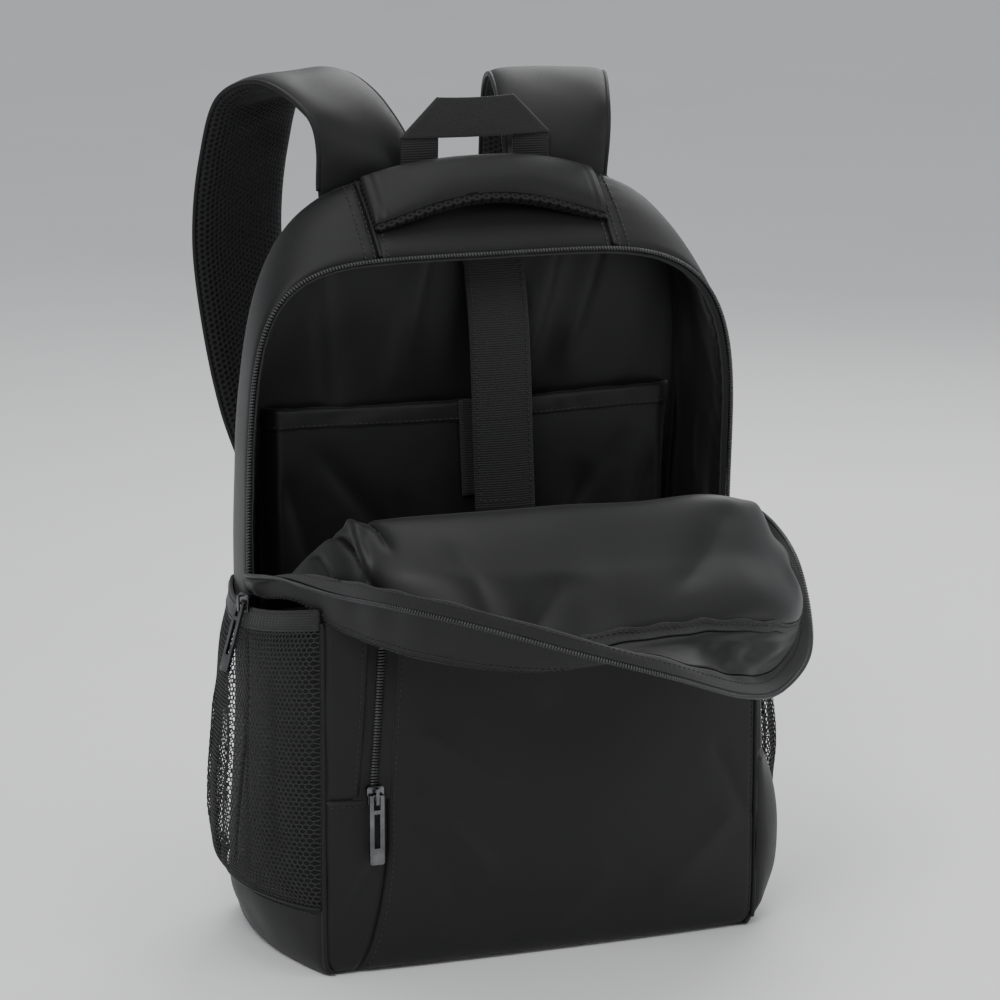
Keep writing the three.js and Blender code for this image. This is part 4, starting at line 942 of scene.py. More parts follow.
# Hanging tie over the sleeve, with a sewn patch behind its lower end
tie = {"width": 38, "top": 441.8, "bottom": 250, "cloth": 1.7, "centre": 14, "y": 35.5}
tieAhead = [(0, 0), (0.12, 0.35), (0.4, 0.75), (0.75, 0.45), (1, 0.25)]
tieShift = [(0, -0.35), (0.12, -0.3), (0.4, -0.12), (0.75, 0.03), (1, 0.12)]


def tiePlace(a, d):
    cup = 1.4 * (a - 0.5) ** 2 * 4
    return point(tie["centre"] + readSmooth(tieShift, d) * 22 + (a - 0.5) * tie["width"],
                 tie["y"] - readSmooth(tieAhead, d) * 6 + cup, mix(tie["top"], tie["bottom"], d))


tiePiece, tieGrid = addCloth("sleeveTie", lambda a, u: tiePlace(a, 1 - u), 14, 90, -tie["cloth"] / 2,
                             tie["cloth"] / 2, ribbedWebbing,
                             ["sleeve_tie"], lambda grid, a, u: ripple(grid, 60, 44) * 0.5)
for edge in (0.07, 0.93):
    stitchOnCloth(stitches, tieGrid, lambda s, e=edge: (e, mix(0.02, 0.98, s)), 1.0, steps=120)
for level in (0.03, 0.3):
    stitchOnCloth(stitches, tieGrid, lambda s, v=level: (mix(0.08, 0.92, s), v), 1.0, steps=40)


def tiePatch(a, u):
    d = (tie["top"] - mix(tie["bottom"] + 8, sleeve["top"] + 1, u)) / (tie["top"] - tie["bottom"])
    lead = tiePlace(a, d)
    return point(lead[0] - 5, sleeve["y"] - 3, lead[2])


addCloth("sleeveTiePatch", tiePatch, 12, 24, -0.6, 0.6, ribbedWebbing, ["sleeve_tie_patch"])
print("stage: sleeve and tie")

# Front pocket: face, left strips with the zip between, and the right strips
pocket = {"bulge": 11, "top": 246, "zipX": -105, "zipWidth": 17, "zipTop": 206, "zipBottom": 109,
          "frontRightX": 140, "corner": 217, "cloth": 1.8, "floor": 0.5}
seamTable = [(0, 18), (0.08, 9), (0.25, 1.5), (0.5, 0), (1, -2)]
pocketFolds = [  # start a, u, end a, u, width, depth in mm
    ((0.03, 0.5), (0.3, 0.2), 0.035, 2.6),
    ((0.02, 0.44), (0.22, 0.12), 0.03, -1.6),
    ((0.05, 0.62), (0.34, 0.42), 0.04, 1.8),
    ((0.3, 0.95), (0.42, 0.62), 0.05, 1.6),
    ((0.72, 0.9), (0.95, 0.6), 0.05, 1.8),
    ((0.98, 0.35), (0.7, 0.1), 0.05, 1.6),
    ((0.45, 0.06), (0.6, 0.24), 0.06, 1.4),
    ((0.86, 0.52), (0.99, 0.28), 0.03, -1.4),
    ((0.1, 0.12), (0.36, 0.05), 0.03, 1.5)]


def pocketY(x, z):
    acrossShare = min(max(1 - abs(x / pocket["frontRightX"]) ** 2.6, 0), 1)
    upShare = 0.35 + 0.65 * float(smooth(z / 60)) * float(smooth((pocket["top"] + 30 - z) / 90))
    topTurn = min(max((z - (pocket["top"] - 14)) / 14, 0), 1)
    turned = 5 * (1 - math.sqrt(1 - topTurn ** 2 * 0.98))
    return frontY - pocket["bulge"] * acrossShare * upShare + edgeInset(z) + turned


def pocketFace(x, z):
    return point(x, pocketY(x, z), z)


def panelLeftX(z):
    shift = 5 * min(max((pocket["zipTop"] - z) / (pocket["zipTop"] - 109), 0), 1)
    return pocket["zipX"] + pocket["zipWidth"] / 2 - shift - readSmooth(seamTable, z / pocket["top"])


def stripRightX(z):
    return panelLeftX(z) - pocket["zipWidth"] - seamGap


def betweenSides(z):
    return sideX(frontY + 2.2, z) - 2.6


def pocketTopAt(x):
    return mix(pocket["corner"], pocket["top"],
               float(smooth((x + 128) / 50) * smooth((halfWidth - x) / 40)))


def pocketPanel(a, u):
    reach = mix(panelLeftX(mix(pocket["floor"], pocket["top"], u)), pocket["frontRightX"], a)
    z = mix(pocket["floor"], pocketTopAt(reach), u)
    return pocketFace(mix(panelLeftX(z) + 0.3, betweenSides(z) + 0.5, a), z)


def pocketRelief(grid, a, u):
    total = ripple(grid, 130, 51) * 1.3 * bump(u, 0.5, 0.5) * bump(a, 0.5, 0.52) + creases(a, u,
            pocketFolds)
    return total - seamDip(grid, a, u, ("left", "right", "bottom"), 1.7, 4.5)


_, pocketGrid = addCloth("pocketFront", pocketPanel, 110, 110, -pocket["cloth"], 0.0, coatedCloth,
                         ["front_pocket"], pocketRelief)
stitchOnCloth(stitches, pocketGrid, lambda s: (0.016, mix(0.02, 0.83, s)), 0.2, steps=140)
stitchOnCloth(stitches, pocketGrid, lambda s: (0.987, mix(0.02, 0.83, s)), 0.2, steps=140)


def stripLow(a, u):
    z = mix(pocket["floor"], pocket["zipBottom"], u)
    return pocketFace(mix(-betweenSides(z) - 0.5, panelLeftX(z), a), z)


_, stripLowGrid = addCloth("pocketStripLow", stripLow, 24, 50, -pocket["cloth"], 0.0, coatedCloth,
                           ["pocket_strip_lower"],
                           lambda grid, a, u: ripple(grid, 60, 53) * 0.9 * bump(u, 0.5, 0.5)
                           + crease(a, u, (0.95, 0.75), (0.3, 0.35), 0.06, 1.8)
                           - seamDip(grid, a, u, ("left", "right", "top", "bottom"), 1.7, 4))
stitchOnCloth(stitches, stripLowGrid, lambda s: (mix(0.05, 0.95, s), 0.965), 0.2, steps=40)


def stripHigh(a, u):
    z = mix(pocket["zipBottom"], mix(pocket["corner"], pocketTopAt(stripRightX(200)), a), u)
    return pocketFace(mix(-betweenSides(z) - 0.5, stripRightX(z), a), z)


_, stripHighGrid = addCloth("pocketStripHigh", stripHigh, 20, 50, -pocket["cloth"], 0.0, coatedCloth,
                            ["pocket_strip_upper"],
                            lambda grid, a, u: ripple(grid, 60, 55) * 0.8 * bump(u, 0.5, 0.5)
                            - seamDip(grid, a, u, ("left", "bottom"), 1.7, 4))
stitchOnCloth(stitches, stripHighGrid, lambda s: (0.9, mix(0.02, 0.98, s)), 0.2, steps=80)


def pocketTape(a, u):
    z = mix(pocket["zipBottom"], mix(pocketTopAt(stripRightX(200)), pocketTopAt(panelLeftX(200)), a) - 1, u)
    return pocketFace(mix(stripRightX(z) - 2, panelLeftX(z) + 2, a), z) + point(0, 1.5, 0)


addCloth("pocketZipTape", pocketTape, 16, 60, -0.5, 0.5, wovenTape, ["pocket_zip_tape"])
pullZ = pocket["zipBottom"] + 4
coil = Lump()
zipCoil(coil, [pocketFace(panelLeftX(z) - pocket["zipWidth"] / 2, z) + point(0, 0.4, 0)
               for z in np.linspace(pullZ + 4, pocket["zipTop"] + 22, 60)],
        [0.0, -1.0, 0.0], pitch=1.8, width=4.6, height=2.2)
addLump("pocketZipCoil", coil, nylonCoil, ["pocket_zip_teeth"])

rightStrip = {"back": -40, "seam": 106, "fullness": 9}


def rightStripPlace(low, high, fullness):
    def place(d, u):
        z = mix(low, high, u)
        y = mix(rightStrip["back"], frontY + 1.5, d)
        fade = math.sin(math.pi * mix(0.12, 0.999, d)) ** 0.7
        lift = fullness * math.sin(math.pi * u) ** 0.8 * fade if 0 < u < 1 else 0
        tuck = mix(-1.6, 1, float(smooth(u / 0.07) * smooth((1 - d) / 0.05)))
        return sideAt(1, y, z) + point(tuck + lift, 0, 0)
    return place


rightLowPlace = rightStripPlace(8, rightStrip["seam"], rightStrip["fullness"])
_, rightLowGrid = addCloth("pocketRightLow", rightLowPlace, 30, 50, -pocket["cloth"], 0.0, coatedCloth,
                           ["pocket_strip_right_lower"],
                           lambda grid, a, u: ripple(grid, 50, 57) * 1.0 * bump(u, 0.5, 0.5))
addCloth("pocketRightHigh", rightStripPlace(rightStrip["seam"] + 0.4, 203, 0), 24, 40, -1.4, 0.0,
         coatedCloth,
         ["pocket_strip_right_upper"], lambda grid, a, u: ripple(grid, 60, 58) * 0.8 * bump(u, 0.5, 0.5))
for side, name in ((-1, "left"), (1, "right")):
    corner = [sideAt(side, frontY + 1.4, z) + point(-side * 1.3, 0, 0)
              for z in np.linspace(6, pocket["corner"], 70)]
    addObject(f"cornerSeam_{name}", tubeMesh(f"cornerSeam_{name}", corner, 1.7, 10), coatedCloth,
              [])
pipeLine = [rightLowGrid[-1, c] + point(0.2, 0, 0.6) for c in range(0, rightLowGrid.shape[1])]
addObject("pocketRightPiping", tubeMesh("pocketRightPiping", pipeLine, 1.3), coatedCloth,
          [])
print("stage: front pocket")

# Opened front, folded forward. Each row runs from the left hinge round the opened edge to the right one:
# share of the half-width, of the reach past the front face, and of the height of the crest.
# Shares of the way out from the hem: where the grid starts and ends, the shell ends, and the lining ends.
flap = {"reach": 132, "crest": 275, "cloth": 1.8, "lining": 0.8, "gap": 0.35, "seam": 0.6, "edgeCloth": 1.3,
        "first": 0.02, "last": 0.985, "ends": 0.006, "edgeStart": 0.597, "liningEnd": 0.775, "tape": 0.6}
flapRows = {
    "hem": [(-0.915, -0.62, 0.755), (-0.865, -0.52, 0.765), (-0.81, -0.34, 0.775), (-0.73, -0.17, 0.765),
            (-0.6, -0.085, 0.765), (-0.38, -0.065, 0.765), (-0.13, -0.065, 0.765), (0.13, -0.065, 0.765),
            (0.38, -0.065, 0.765), (0.61, -0.075, 0.765), (0.75, -0.1, 0.765), (0.8, -0.22, 0.765),
            (0.82, -0.38, 0.765), (0.885, -0.62, 0.765)],
    "crest": [(-0.945, -0.62, 0.775), (-0.915, -0.48, 0.81), (-0.855, -0.27, 0.9), (-0.755, -0.1, 0.98),
              (-0.61, -0.02, 1), (-0.38, 0.02, 1), (-0.13, 0.03, 1), (0.13, 0.03, 1.004),
              (0.38, 0.03, 1.004), (0.625, 0.015, 0.994), (0.8, -0.02, 0.975), (0.895, -0.11, 0.955),
              (0.895, -0.3, 0.912), (0.93, -0.61, 0.858)],
    "middle": [(-0.96, -0.635, 0.785), (-0.945, -0.465, 0.812), (-0.88, -0.22, 0.868), (-0.78, 0.06, 0.905),
               (-0.64, 0.23, 0.915), (-0.42, 0.32, 0.91), (-0.18, 0.36, 0.9), (0.115, 0.38, 0.9),
               (0.38, 0.38, 0.9), (0.63, 0.34, 0.895), (0.82, 0.22, 0.89), (0.92, 0.03, 0.9),
               (0.928, -0.27, 0.9), (0.947, -0.62, 0.864)],
    "seam": [(-0.98, -0.65, 0.795), (-0.98, -0.46, 0.805), (-0.915, -0.2, 0.82), (-0.835, 0.06, 0.785),
             (-0.71, 0.32, 0.765), (-0.495, 0.53, 0.745), (-0.215, 0.645, 0.735), (0.125, 0.68, 0.76),
             (0.42, 0.66, 0.775), (0.69, 0.565, 0.785), (0.87, 0.38, 0.795), (0.935, 0.12, 0.872),
             (0.948, -0.26, 0.898), (0.962, -0.635, 0.872)],
    "tape": [(-1, -0.655, 0.812), (-1.015, -0.455, 0.832), (-0.945, -0.2, 0.876), (-0.865, 0.15, 0.9),
             (-0.75, 0.51, 0.91), (-0.515, 0.79, 0.89), (-0.19, 0.93, 0.832), (0.175, 0.93, 0.762),
             (0.495, 0.785, 0.69), (0.725, 0.56, 0.66), (0.91, 0.35, 0.71), (0.967, 0.115, 0.842),
             (0.972, -0.26, 0.905), (0.976, -0.645, 0.876)],
    "teeth": [(-1.012, -0.655, 0.828), (-1.035, -0.465, 0.846), (-0.97, -0.2, 0.87), (-0.88, 0.18, 0.875),
              (-0.76, 0.55, 0.885), (-0.525, 0.825, 0.864), (-0.19, 0.97, 0.807), (0.175, 0.985, 0.738),
              (0.51, 0.85, 0.662), (0.76, 0.6, 0.635), (0.965, 0.35, 0.69), (0.995, 0.11, 0.843),
              (0.985, -0.26, 0.913), (0.985, -0.65, 0.885)],
}
flapCurves = [[point(x * halfWidth, frontY - out * flap["reach"], z * flap["crest"]) for x, out, z in rows]
              for rows in flapRows.values()]
flapAcross, flapAlong = 220, 96


def flapSurface(low, high):
    # The opened front between two shares of the way from its hem to its teeth
    grid = np.zeros((flapAlong + 1, flapAcross + 1, 3))
    for i in range(flapAcross + 1):
        way = mix(flap["ends"], 1 - flap["ends"], i / flapAcross)
        rows = [curveAt(curve, way) for curve in flapCurves]
        for j in range(flapAlong + 1):
            grid[j, i] = curveAt(rows, mix(low, high, j / flapAlong), even=True)
    return grid


flapGrid = flapSurface(flap["first"], flap["last"])
flapWays = np.linspace(flap["ends"], 1 - flap["ends"], flapAcross + 1)[None, :] * np.ones((flapAlong + 1, 1))
flapOuts = np.linspace(flap["first"], flap["last"], flapAlong + 1)[:, None] * np.ones((1, flapAcross + 1))
# Folds of the slack cloth: waves that run from the crest to the edge, and gathers at both corners
flapFolds = ripple(flapGrid * np.array([1.0, 0.45, 0.6]), 90, 61) * 1.5
flapCreases = [  # (start way, out), (end way, out), width, depth in mm
    ((0.6, 0.5), (0.74, 0.24), 0.03, 2.0),
    ((0.44, 0.56), (0.5, 0.4), 0.02, 2.2),
    ((0.2, 0.2), (0.3, 0.6), 0.014, 5.0),
    ((0.24, 0.2), (0.27, 0.62), 0.01, -4.0),
    ((0.16, 0.22), (0.22, 0.6), 0.012, 4.0),
    ((0.36, 0.3), (0.46, 0.62), 0.024, 1.8),
    ((0.19, 0.14), (0.235, 0.34), 0.008, 5.0),
    ((0.22, 0.12), (0.26, 0.3), 0.008, -4.0),
    ((0.25, 0.12), (0.3, 0.36), 0.01, 3.4)]
flapFolds += creases(flapWays, flapOuts, flapCreases)
flapEnds = 0.35 + 0.65 * smooth(flapWays / 0.12) * smooth((1 - flapWays) / 0.12)
flapFolds *= smooth((flapOuts - 0.06) / 0.1) * smooth((0.66 - flapOuts) / 0.12) * flapEnds
# The zipped edge waves a little, and the seam under it is drawn in
flapFolds += np.sin(flapWays * 95 + 2 * np.sin(flapWays * 21)) * 0.8 * bump(flapOuts, 0.74, 0.16)
flapGrid = flapGrid + normalsOf(flapGrid) * flapFolds[..., None]


def flapRowsBetween(low, high):
    keep = [j for j in range(flapAlong + 1) if low <= flapOuts[j, 0] <= high]
    return flapGrid[keep[0]:keep[-1] + 1], flapWays[keep[0]:keep[-1] + 1], flapOuts[keep[0]:keep[-1] + 1]


def flapLayer(name, low, high, inner, outer, material, nodes, relief=None):
    grid, ways, outs = flapRowsBetween(low, high)
    if relief is not None:
        grid = grid + normalsOf(grid) * np.asarray(relief(grid, ways, outs))[..., None]
    return addObject(name, wallMesh(name, grid, inner, outer), material, nodes), grid


def shellSeams(grid, ways, outs):
    return -1.3 * smooth(1 - np.abs(outs - flap["seam"]) / 0.02)


flapHemStops = [(0.49, 0.56, 0.617, 0.7, 0.75, 0.787, 0.83), (0.535, 0.55, 0.563, 0.615, 0.66, 0.704, 0.76)]


def liningFolds(grid, ways, outs):
    # The inner pocket's hem stands proud of the panel, over a dark band, and the corner under it is gathered
    hemAt = np.interp(ways, flapHemStops[0], flapHemStops[1])
    within = smooth((ways - 0.5) / 0.05) * smooth((0.83 - ways) / 0.03)
    hem = (smooth((hemAt - outs) / 0.014 + 0.5) * smooth((outs - hemAt + 0.26) / 0.24) * 3.2
           + smooth(1 - np.abs(outs - hemAt - 0.045) / 0.02) * 1.2) * within
    below = smooth((outs - hemAt - 0.05) / 0.05)
    corner = smooth((ways - 0.56) / 0.1) * smooth((0.86 - ways) / 0.05) * below
    pulls = 1.2 + np.sin(ways * 85 + outs * 60 + 2 * np.sin(ways * 31))
    pulls = pulls + 0.7 * np.sin(ways * 53 - outs * 44 + 1)
    return -(hem + pulls * 1.1 * corner * smooth((0.775 - outs) / 0.05) + 0.3)


flapLayer("openedShell", 0.0, flap["seam"], flap["gap"], flap["gap"] + flap["cloth"], coatedCloth,
          ["flap_shell"], shellSeams)
_, flapEdgeGrid = flapLayer("openedEdge", flap["edgeStart"], 1.0, flap["gap"],
                            flap["gap"] + flap["edgeCloth"], coatedCloth, ["flap_edge"],
                            shellSeams)
_, flapLiningGrid = flapLayer("openedLining", 0.0, flap["liningEnd"], -flap["gap"] - flap["lining"],
                              -flap["gap"], satinLining, ["flap_lining"], liningFolds)
# Band along the inner pocket's hem, sewn on the lining
hemWays = np.linspace(0.5, 0.825, 130)
hemNormals = normalsOf(flapLiningGrid)
hemRows = []
for below in np.linspace(-0.004, 0.034, 8):
    outs = np.interp(hemWays, flapHemStops[0], flapHemStops[1]) + below + 0.002 * np.sin(hemWays * 150)
    acrossShares = (hemWays - flap["ends"]) / (1 - 2 * flap["ends"])
    alongShares = (outs - flap["first"]) / (flap["liningEnd"] - flap["first"])
    hemRows.append([surfaceRow(flapLiningGrid, hemNormals, a, u, -1.6)[0]
                    for a, u in zip(acrossShares, alongShares)])
hemGrid = np.array(hemRows)
addObject("openedPocketHem", wallMesh("openedPocketHem", hemGrid, -0.7, 0.0), ribbedBinding, [])
stitchOnCloth(stitches, hemGrid, lambda s: (mix(0.01, 0.99, s), 0.2), -0.85, steps=130)
_, flapTapeGrid = flapLayer("openedZipTape", flap["liningEnd"], 1.0, -flap["gap"] - flap["tape"],
                            -flap["gap"], wovenTape, ["flap_zip_tape"])
edgeReach = flap["last"] - flap["edgeStart"]
edgeLift = flap["gap"] + flap["edgeCloth"] + 0.15
for row in ((0.62 - flap["edgeStart"]) / edgeReach, (0.64 - flap["edgeStart"]) / edgeReach, 0.93):
    stitchOnCloth(stitches, flapEdgeGrid, lambda s, v=row: (mix(0.01, 0.99, s), v), edgeLift, steps=260)
stitchOnCloth(stitches, flapTapeGrid, lambda s: (mix(0.01, 0.99, s), 0.3), -flap["gap"] - 0.75, steps=260)

flapCoil = Lump()
edgeGrid, _, _ = flapRowsBetween(0.9, 1.0)
edgeOut = edgeGrid[-1] - edgeGrid[-3]
edgeOut /= np.linalg.norm(edgeOut, axis=1, keepdims=True)
edgeNormals = normalsOf(edgeGrid)[-1]
teethLine = edgeGrid[-1] + edgeOut * 1.6
keep = slice(6, -6)
evenLine = evenly(teethLine[keep], 1.7)
lengths = np.linspace(0, 1, len(evenLine))
outWay = np.stack([np.interp(lengths, np.linspace(0, 1, len(edgeOut[keep])), edgeNormals[keep][:, k])
                   for k in range(3)], axis=1)
zipCoil(flapCoil, evenLine, outWay, pitch=1.7, width=3.0, height=1.6)
addLump("openedZipCoil", flapCoil, nylonCoil, ["flap_zip_teeth"])
print("stage: opened front")

# Zip round the rim: tape turned in behind its teeth
rimStart = alongAtHeight(222) / 2


def rimPoint(way, inset, back):
    edge = wholeArch(0, mix(rimStart, 1 - rimStart, way))
    centre = point(0, edge[1], min(edge[2], shoulder + 60))
    inward = centre - edge
    return edge + inward / np.linalg.norm(inward) * inset + point(0, back, 0)


def rimTape(way, back):
    away = 4.4 - 1.6 * (1 - float(smooth(back * 3)))
    return rimPoint(way, away, mix(-1.8, 5, back))


addCloth("rimZipTape", rimTape, 300, 8, -0.4, 0.4, wovenTape, ["rim_zip_tape"],
         lambda grid, a, u: ripple(grid, 40, 71) * 0.35)
rimLine = np.array([rimPoint(way, 0.9, -1.6) for way in np.linspace(0.004, 0.996, 500)])
rimOut = np.array([rimPoint(way, 0, 0) - rimPoint(way, 3, 0) for way in np.linspace(0.004, 0.996, 500)])
rimCoil = Lump()
evenRim = evenly(rimLine, 1.9)
rimShare = np.linspace(0, 1, len(evenRim))
zipCoil(rimCoil, evenRim,
        np.stack([np.interp(rimShare, np.linspace(0, 1, 500), rimOut[:, k]) for k in range(3)], axis=1),
        pitch=1.9, width=3.6, height=2.2)
addLump("rimZipCoil", rimCoil, nylonCoil, ["rim_zip_teeth"])
print("stage: rim zip")

# Side pockets of open net, with an elastic band along the top
netPocket = {"top": {-1: 225, 1: 212}, "drop": 13, "bulge": 21, "band": 11, "cell": 3.1, "thread": 0.4,
             "steps": 96}
netFullness = [(0, 0.03), (0.09, 0.6), (0.2, 0.76), (0.45, 0.93), (0.68, 0.92), (0.85, 0.78),
               (0.94, 0.46), (1, 0.28)]
bandShare = netPocket["band"] / (netPocket["top"][1] - baseBand)
netFolds = {  # (start, end), width, depth: the first share runs front to back on both sides
    -1: [((0.3, 0.03), (0.36, 0.75), 0.035, -5.0), ((0.14, 0.1), (0.2, 0.9), 0.03, -2.6),
         ((0.55, 0.05), (0.5, 0.6), 0.04, -3.0), ((0.75, 0.1), (0.7, 0.8), 0.04, 2.6),
         ((0.42, 0.3), (0.46, 0.95), 0.03, 2.2)],
    1: [((0.35, 0.05), (0.4, 0.7), 0.035, -3.5), ((0.65, 0.1), (0.6, 0.85), 0.04, -2.6),
        ((0.18, 0.2), (0.2, 0.9), 0.03, 2.0)]}


def netSurface(side, frontEnd, steep):
    backEnd = backY - 17

    def place(depth, up):
        share = depth if side < 0 else 1 - depth
        y = mix(frontEnd, backEnd, share)
        top = netPocket["top"][side] - netPocket["drop"] * math.sin(math.pi * share * 0.75)
        z = mix(baseBand - 2, top, up)
        rounded = math.sin(math.pi * min(max(share, 0), 1) ** 0.9) ** steep if 0 < share < 1 else 0
        out = netPocket["bulge"] * readSmooth(netFullness, up) * rounded
        return sideAt(side, y, z) + point(side * (0.9 + out), 0, 0)
    return place


def netMesh(name, grid, cell, thread):
    # Threads along the edges of a honeycomb that is laid over the grid
    runA, runU = runs(grid)
    wide, high = float(np.median(runA[:, -1])), float(np.median(runU[-1, :]))
    normals = normalsOf(grid)
    rows, cols = grid.shape[:2]
    side = cell / math.sqrt(3)
    columns, levels = int(wide / cell), int(high / (1.5 * side))
    starts, ends = [], []
    for level in range(levels + 1):
        for column in range(columns + 1):
            x = (column + 0.5 * (level % 2)) * cell
            y = level * 1.5 * side
            low, left, right = (x, y - side), (x - cell / 2, y - side / 2), (x + cell / 2, y - side / 2)
            upRight = (x + cell / 2, y + side / 2)
            starts += [low, low, right]
            ends += [left, right, upRight]
    starts, ends = np.array(starts), np.array(ends)
    inside = np.all((starts >= 0) & (ends >= 0) & (starts <= [wide, high]) & (ends <= [wide, high]), axis=1)
    starts, ends = starts[inside], ends[inside]

    def onGrid(places, field):
        c = np.clip(places[:, 0] / wide * (cols - 1), 0, cols - 1.001)
        r = np.clip(places[:, 1] / high * (rows - 1), 0, rows - 1.001)
        c0, r0 = c.astype(int), r.astype(int)
        fc, fr = (c - c0)[:, None], (r - r0)[:, None]
        low = field[r0, c0] * (1 - fc) + field[r0, c0 + 1] * fc
        top = field[r0 + 1, c0] * (1 - fc) + field[r0 + 1, c0 + 1] * fc
        return low * (1 - fr) + top * fr

    begin, finish, out = onGrid(starts, grid), onGrid(ends, grid), onGrid(starts, normals)
    way = finish - begin
    way /= np.maximum(np.linalg.norm(way, axis=1, keepdims=True), 1e-9)
    aside = np.cross(way, out)
    reach = way * thread * 0.7
    corners = []
    for place in (begin - reach, finish + reach):
        corners += [place + out * thread, place - out * thread * 0.6 + aside * thread * 0.95,
                    place - out * thread * 0.6 - aside * thread * 0.95]
    points = np.stack(corners, axis=1).reshape(-1, 3)
    first = np.arange(len(begin)) * 6
    faces = []
    for k in first.tolist():
        faces += [(k, k + 1, k + 4, k + 3), (k + 1, k + 2, k + 5, k + 4), (k + 2, k, k + 3, k + 5)]
    return meshFrom(name, points, faces), (wide, high)


for side, name, frontEnd, steep in ((-1, "left", frontY + 1.2, 0.6), (1, "right", -37, 0.5)):
    place = netSurface(side, frontEnd, steep)
    steps = netPocket["steps"]
    whole = gridOf(lambda d, u: place(d, mix(0.005, 1 - bandShare * 0.8, u)), steps, steps)
    a, u = np.meshgrid(np.linspace(0, 1, steps + 1), np.linspace(0, 1, steps + 1))
    fromFront = a if side < 0 else 1 - a
    slack = ripple(whole * np.array([1.0, 1.0, 0.5]), 42, 81 + side) * 1.5 * bump(u, 0.5, 0.5)
    slack = slack * bump(a, 0.5, 0.5) + creases(fromFront, u, netFolds[side])
    outside = -1 if np.mean(normalsOf(whole)[..., 0]) * side < 0 else 1
    slack = np.maximum(slack * smooth(a / 0.1) * smooth((1 - a) / 0.1) * smooth(u / 0.08)
                       * smooth((1 - u) / 0.06), -6)
    grid = whole + normalsOf(whole) * (slack * outside)[..., None]
    mesh, (wide, high) = netMesh(f"sideNet_{name}", grid, netPocket["cell"], netPocket["thread"])
    net = addObject(f"sideNet_{name}", mesh, netThread, [f"net_pocket_{name}"])
    band = lambda d, u, place=place: place(d, mix(1 - bandShare, 1, u))
    low, high = (-0.3, 1.9) if outside < 0 else (-1.9, 0.3)
    _, bandGrid = addCloth(f"netBand_{name}", band, 160, 14, low, high, elasticBand,
                           [f"net_pocket_band_{name}"],
                           lambda grid, a, u: (np.sin(runs(grid)[0] * 1.9) * 0.22 * bump(u, 0.5, 0.7)
                                               + ripple(grid, 30, 83) * 0.5) * bump(a, 0.5, 0.5))
    for level in (0.14, 0.86):
        stitchOnCloth(stitches, bandGrid, lambda s, v=level: (mix(0.02, 0.98, s), v), 0.5 * outside,
                      steps=120)
    seamLine = [grid[1, c] for c in range(0, steps + 1, 2)]
    addObject(f"netSeam_{name}", tubeMesh(f"netSeam_{name}", seamLine, 1.1), coatedCloth,
              [])
print("stage: net pockets")

# Padded handle across the top, with net on its underside
handle = {"width": 42, "thickness": 8, "rise": 14, "half": seamX - 1, "front": 0.4, "roll": 9.0, "lap": 4.2}
slope = point(0, backY - body["backLean"], topHeight - rimHeight)
slope /= np.linalg.norm(slope)
slopeNormal = point(0, -slope[2], slope[1])


def handleCentre(x):
    way = alongAtSeam(-1 if x < 0 else 1, 0.6, max(0.5, abs(x)))
    under = archPoint(-1 if x < 0 else 1, 0.6, way)
    risen = max(1 - (x / handle["half"]) ** 2, 0) ** 1.3
    return point(x, under[1], under[2]) + slopeNormal * mix(4.2, handle["rise"], risen)


handleLine = [handleCentre(mix(-1, 1, k / 60) * handle["half"]) for k in range(61)]


def handlePlace(reach):
    def place(a, u):
        s = 2 * a - 1
        at = a * 60
        index = min(int(at), 59)
        half = handle["width"] / 2 * (1 - 0.12 * s ** 6)
        front = half * mix(handle["front"], 1, abs(s) ** 1.7) + reach
        return mix(handleLine[index], handleLine[index + 1], at - index) + slope * mix(-front, half, u)
    return place


def handleHeights(across, along, size, power):
    s, t = np.meshgrid(np.linspace(-1, 1, across + 1), np.linspace(-1, 1, along + 1))
    return (size * (1 - 0.5 * s ** 8) * np.maximum(1 - np.abs(t) ** power, 0) ** 0.62)[..., None]


handleGrid = gridOf(handlePlace(0), 120, 36)
wrinkles = np.meshgrid(np.linspace(0, 1, 121), np.linspace(0, 1, 37))
handlePuckers = bump(wrinkles[0], 0.03, 0.06) + bump(wrinkles[0], 0.97, 0.06)
handleWave = ripple(handleGrid, 40, 91) * 0.35 + np.sin(wrinkles[0] * 150) * 0.35 * handlePuckers
handleLow = np.full(handleGrid.shape[:2] + (1,), 0.2)
handleHigh = 0.5 + handleHeights(120, 36, handle["thickness"] * 0.6, 2.6) + handleWave[..., None]
handleTop = addObject("handleTop", wallMesh("handleTop", handleGrid, handleLow, handleHigh), coatedCloth,
                      ["top_handle"])
netGrid = gridOf(handlePlace(handle["lap"]), 120, 36)
netLow = -0.8 - handleHeights(120, 36, handle["roll"], 7.0)
netHigh = np.full(netGrid.shape[:2] + (1,), -0.1)
handleUnder = addObject("handleUnder", wallMesh("handleUnder", netGrid, netLow, netHigh), paddedNet,
                        ["handle_net"])
print("stage: handle")

# Hanging loop: flat webbing folded over at both upper corners
loop = {"left": -46.5, "right": 49.5, "width": 23.5, "bottom": 460.8, "top": 504.8, "leg": 22, "y": 46.7,
        "apart": 0.85, "cloth": 1.1, "fold": 3.0}


def foldIn(share):
    # Towards a crease the layer comes in to meet the other one
    away = min(share / loop["fold"], 1)
    return math.sqrt(max(1 - (1 - away) ** 2, 0))


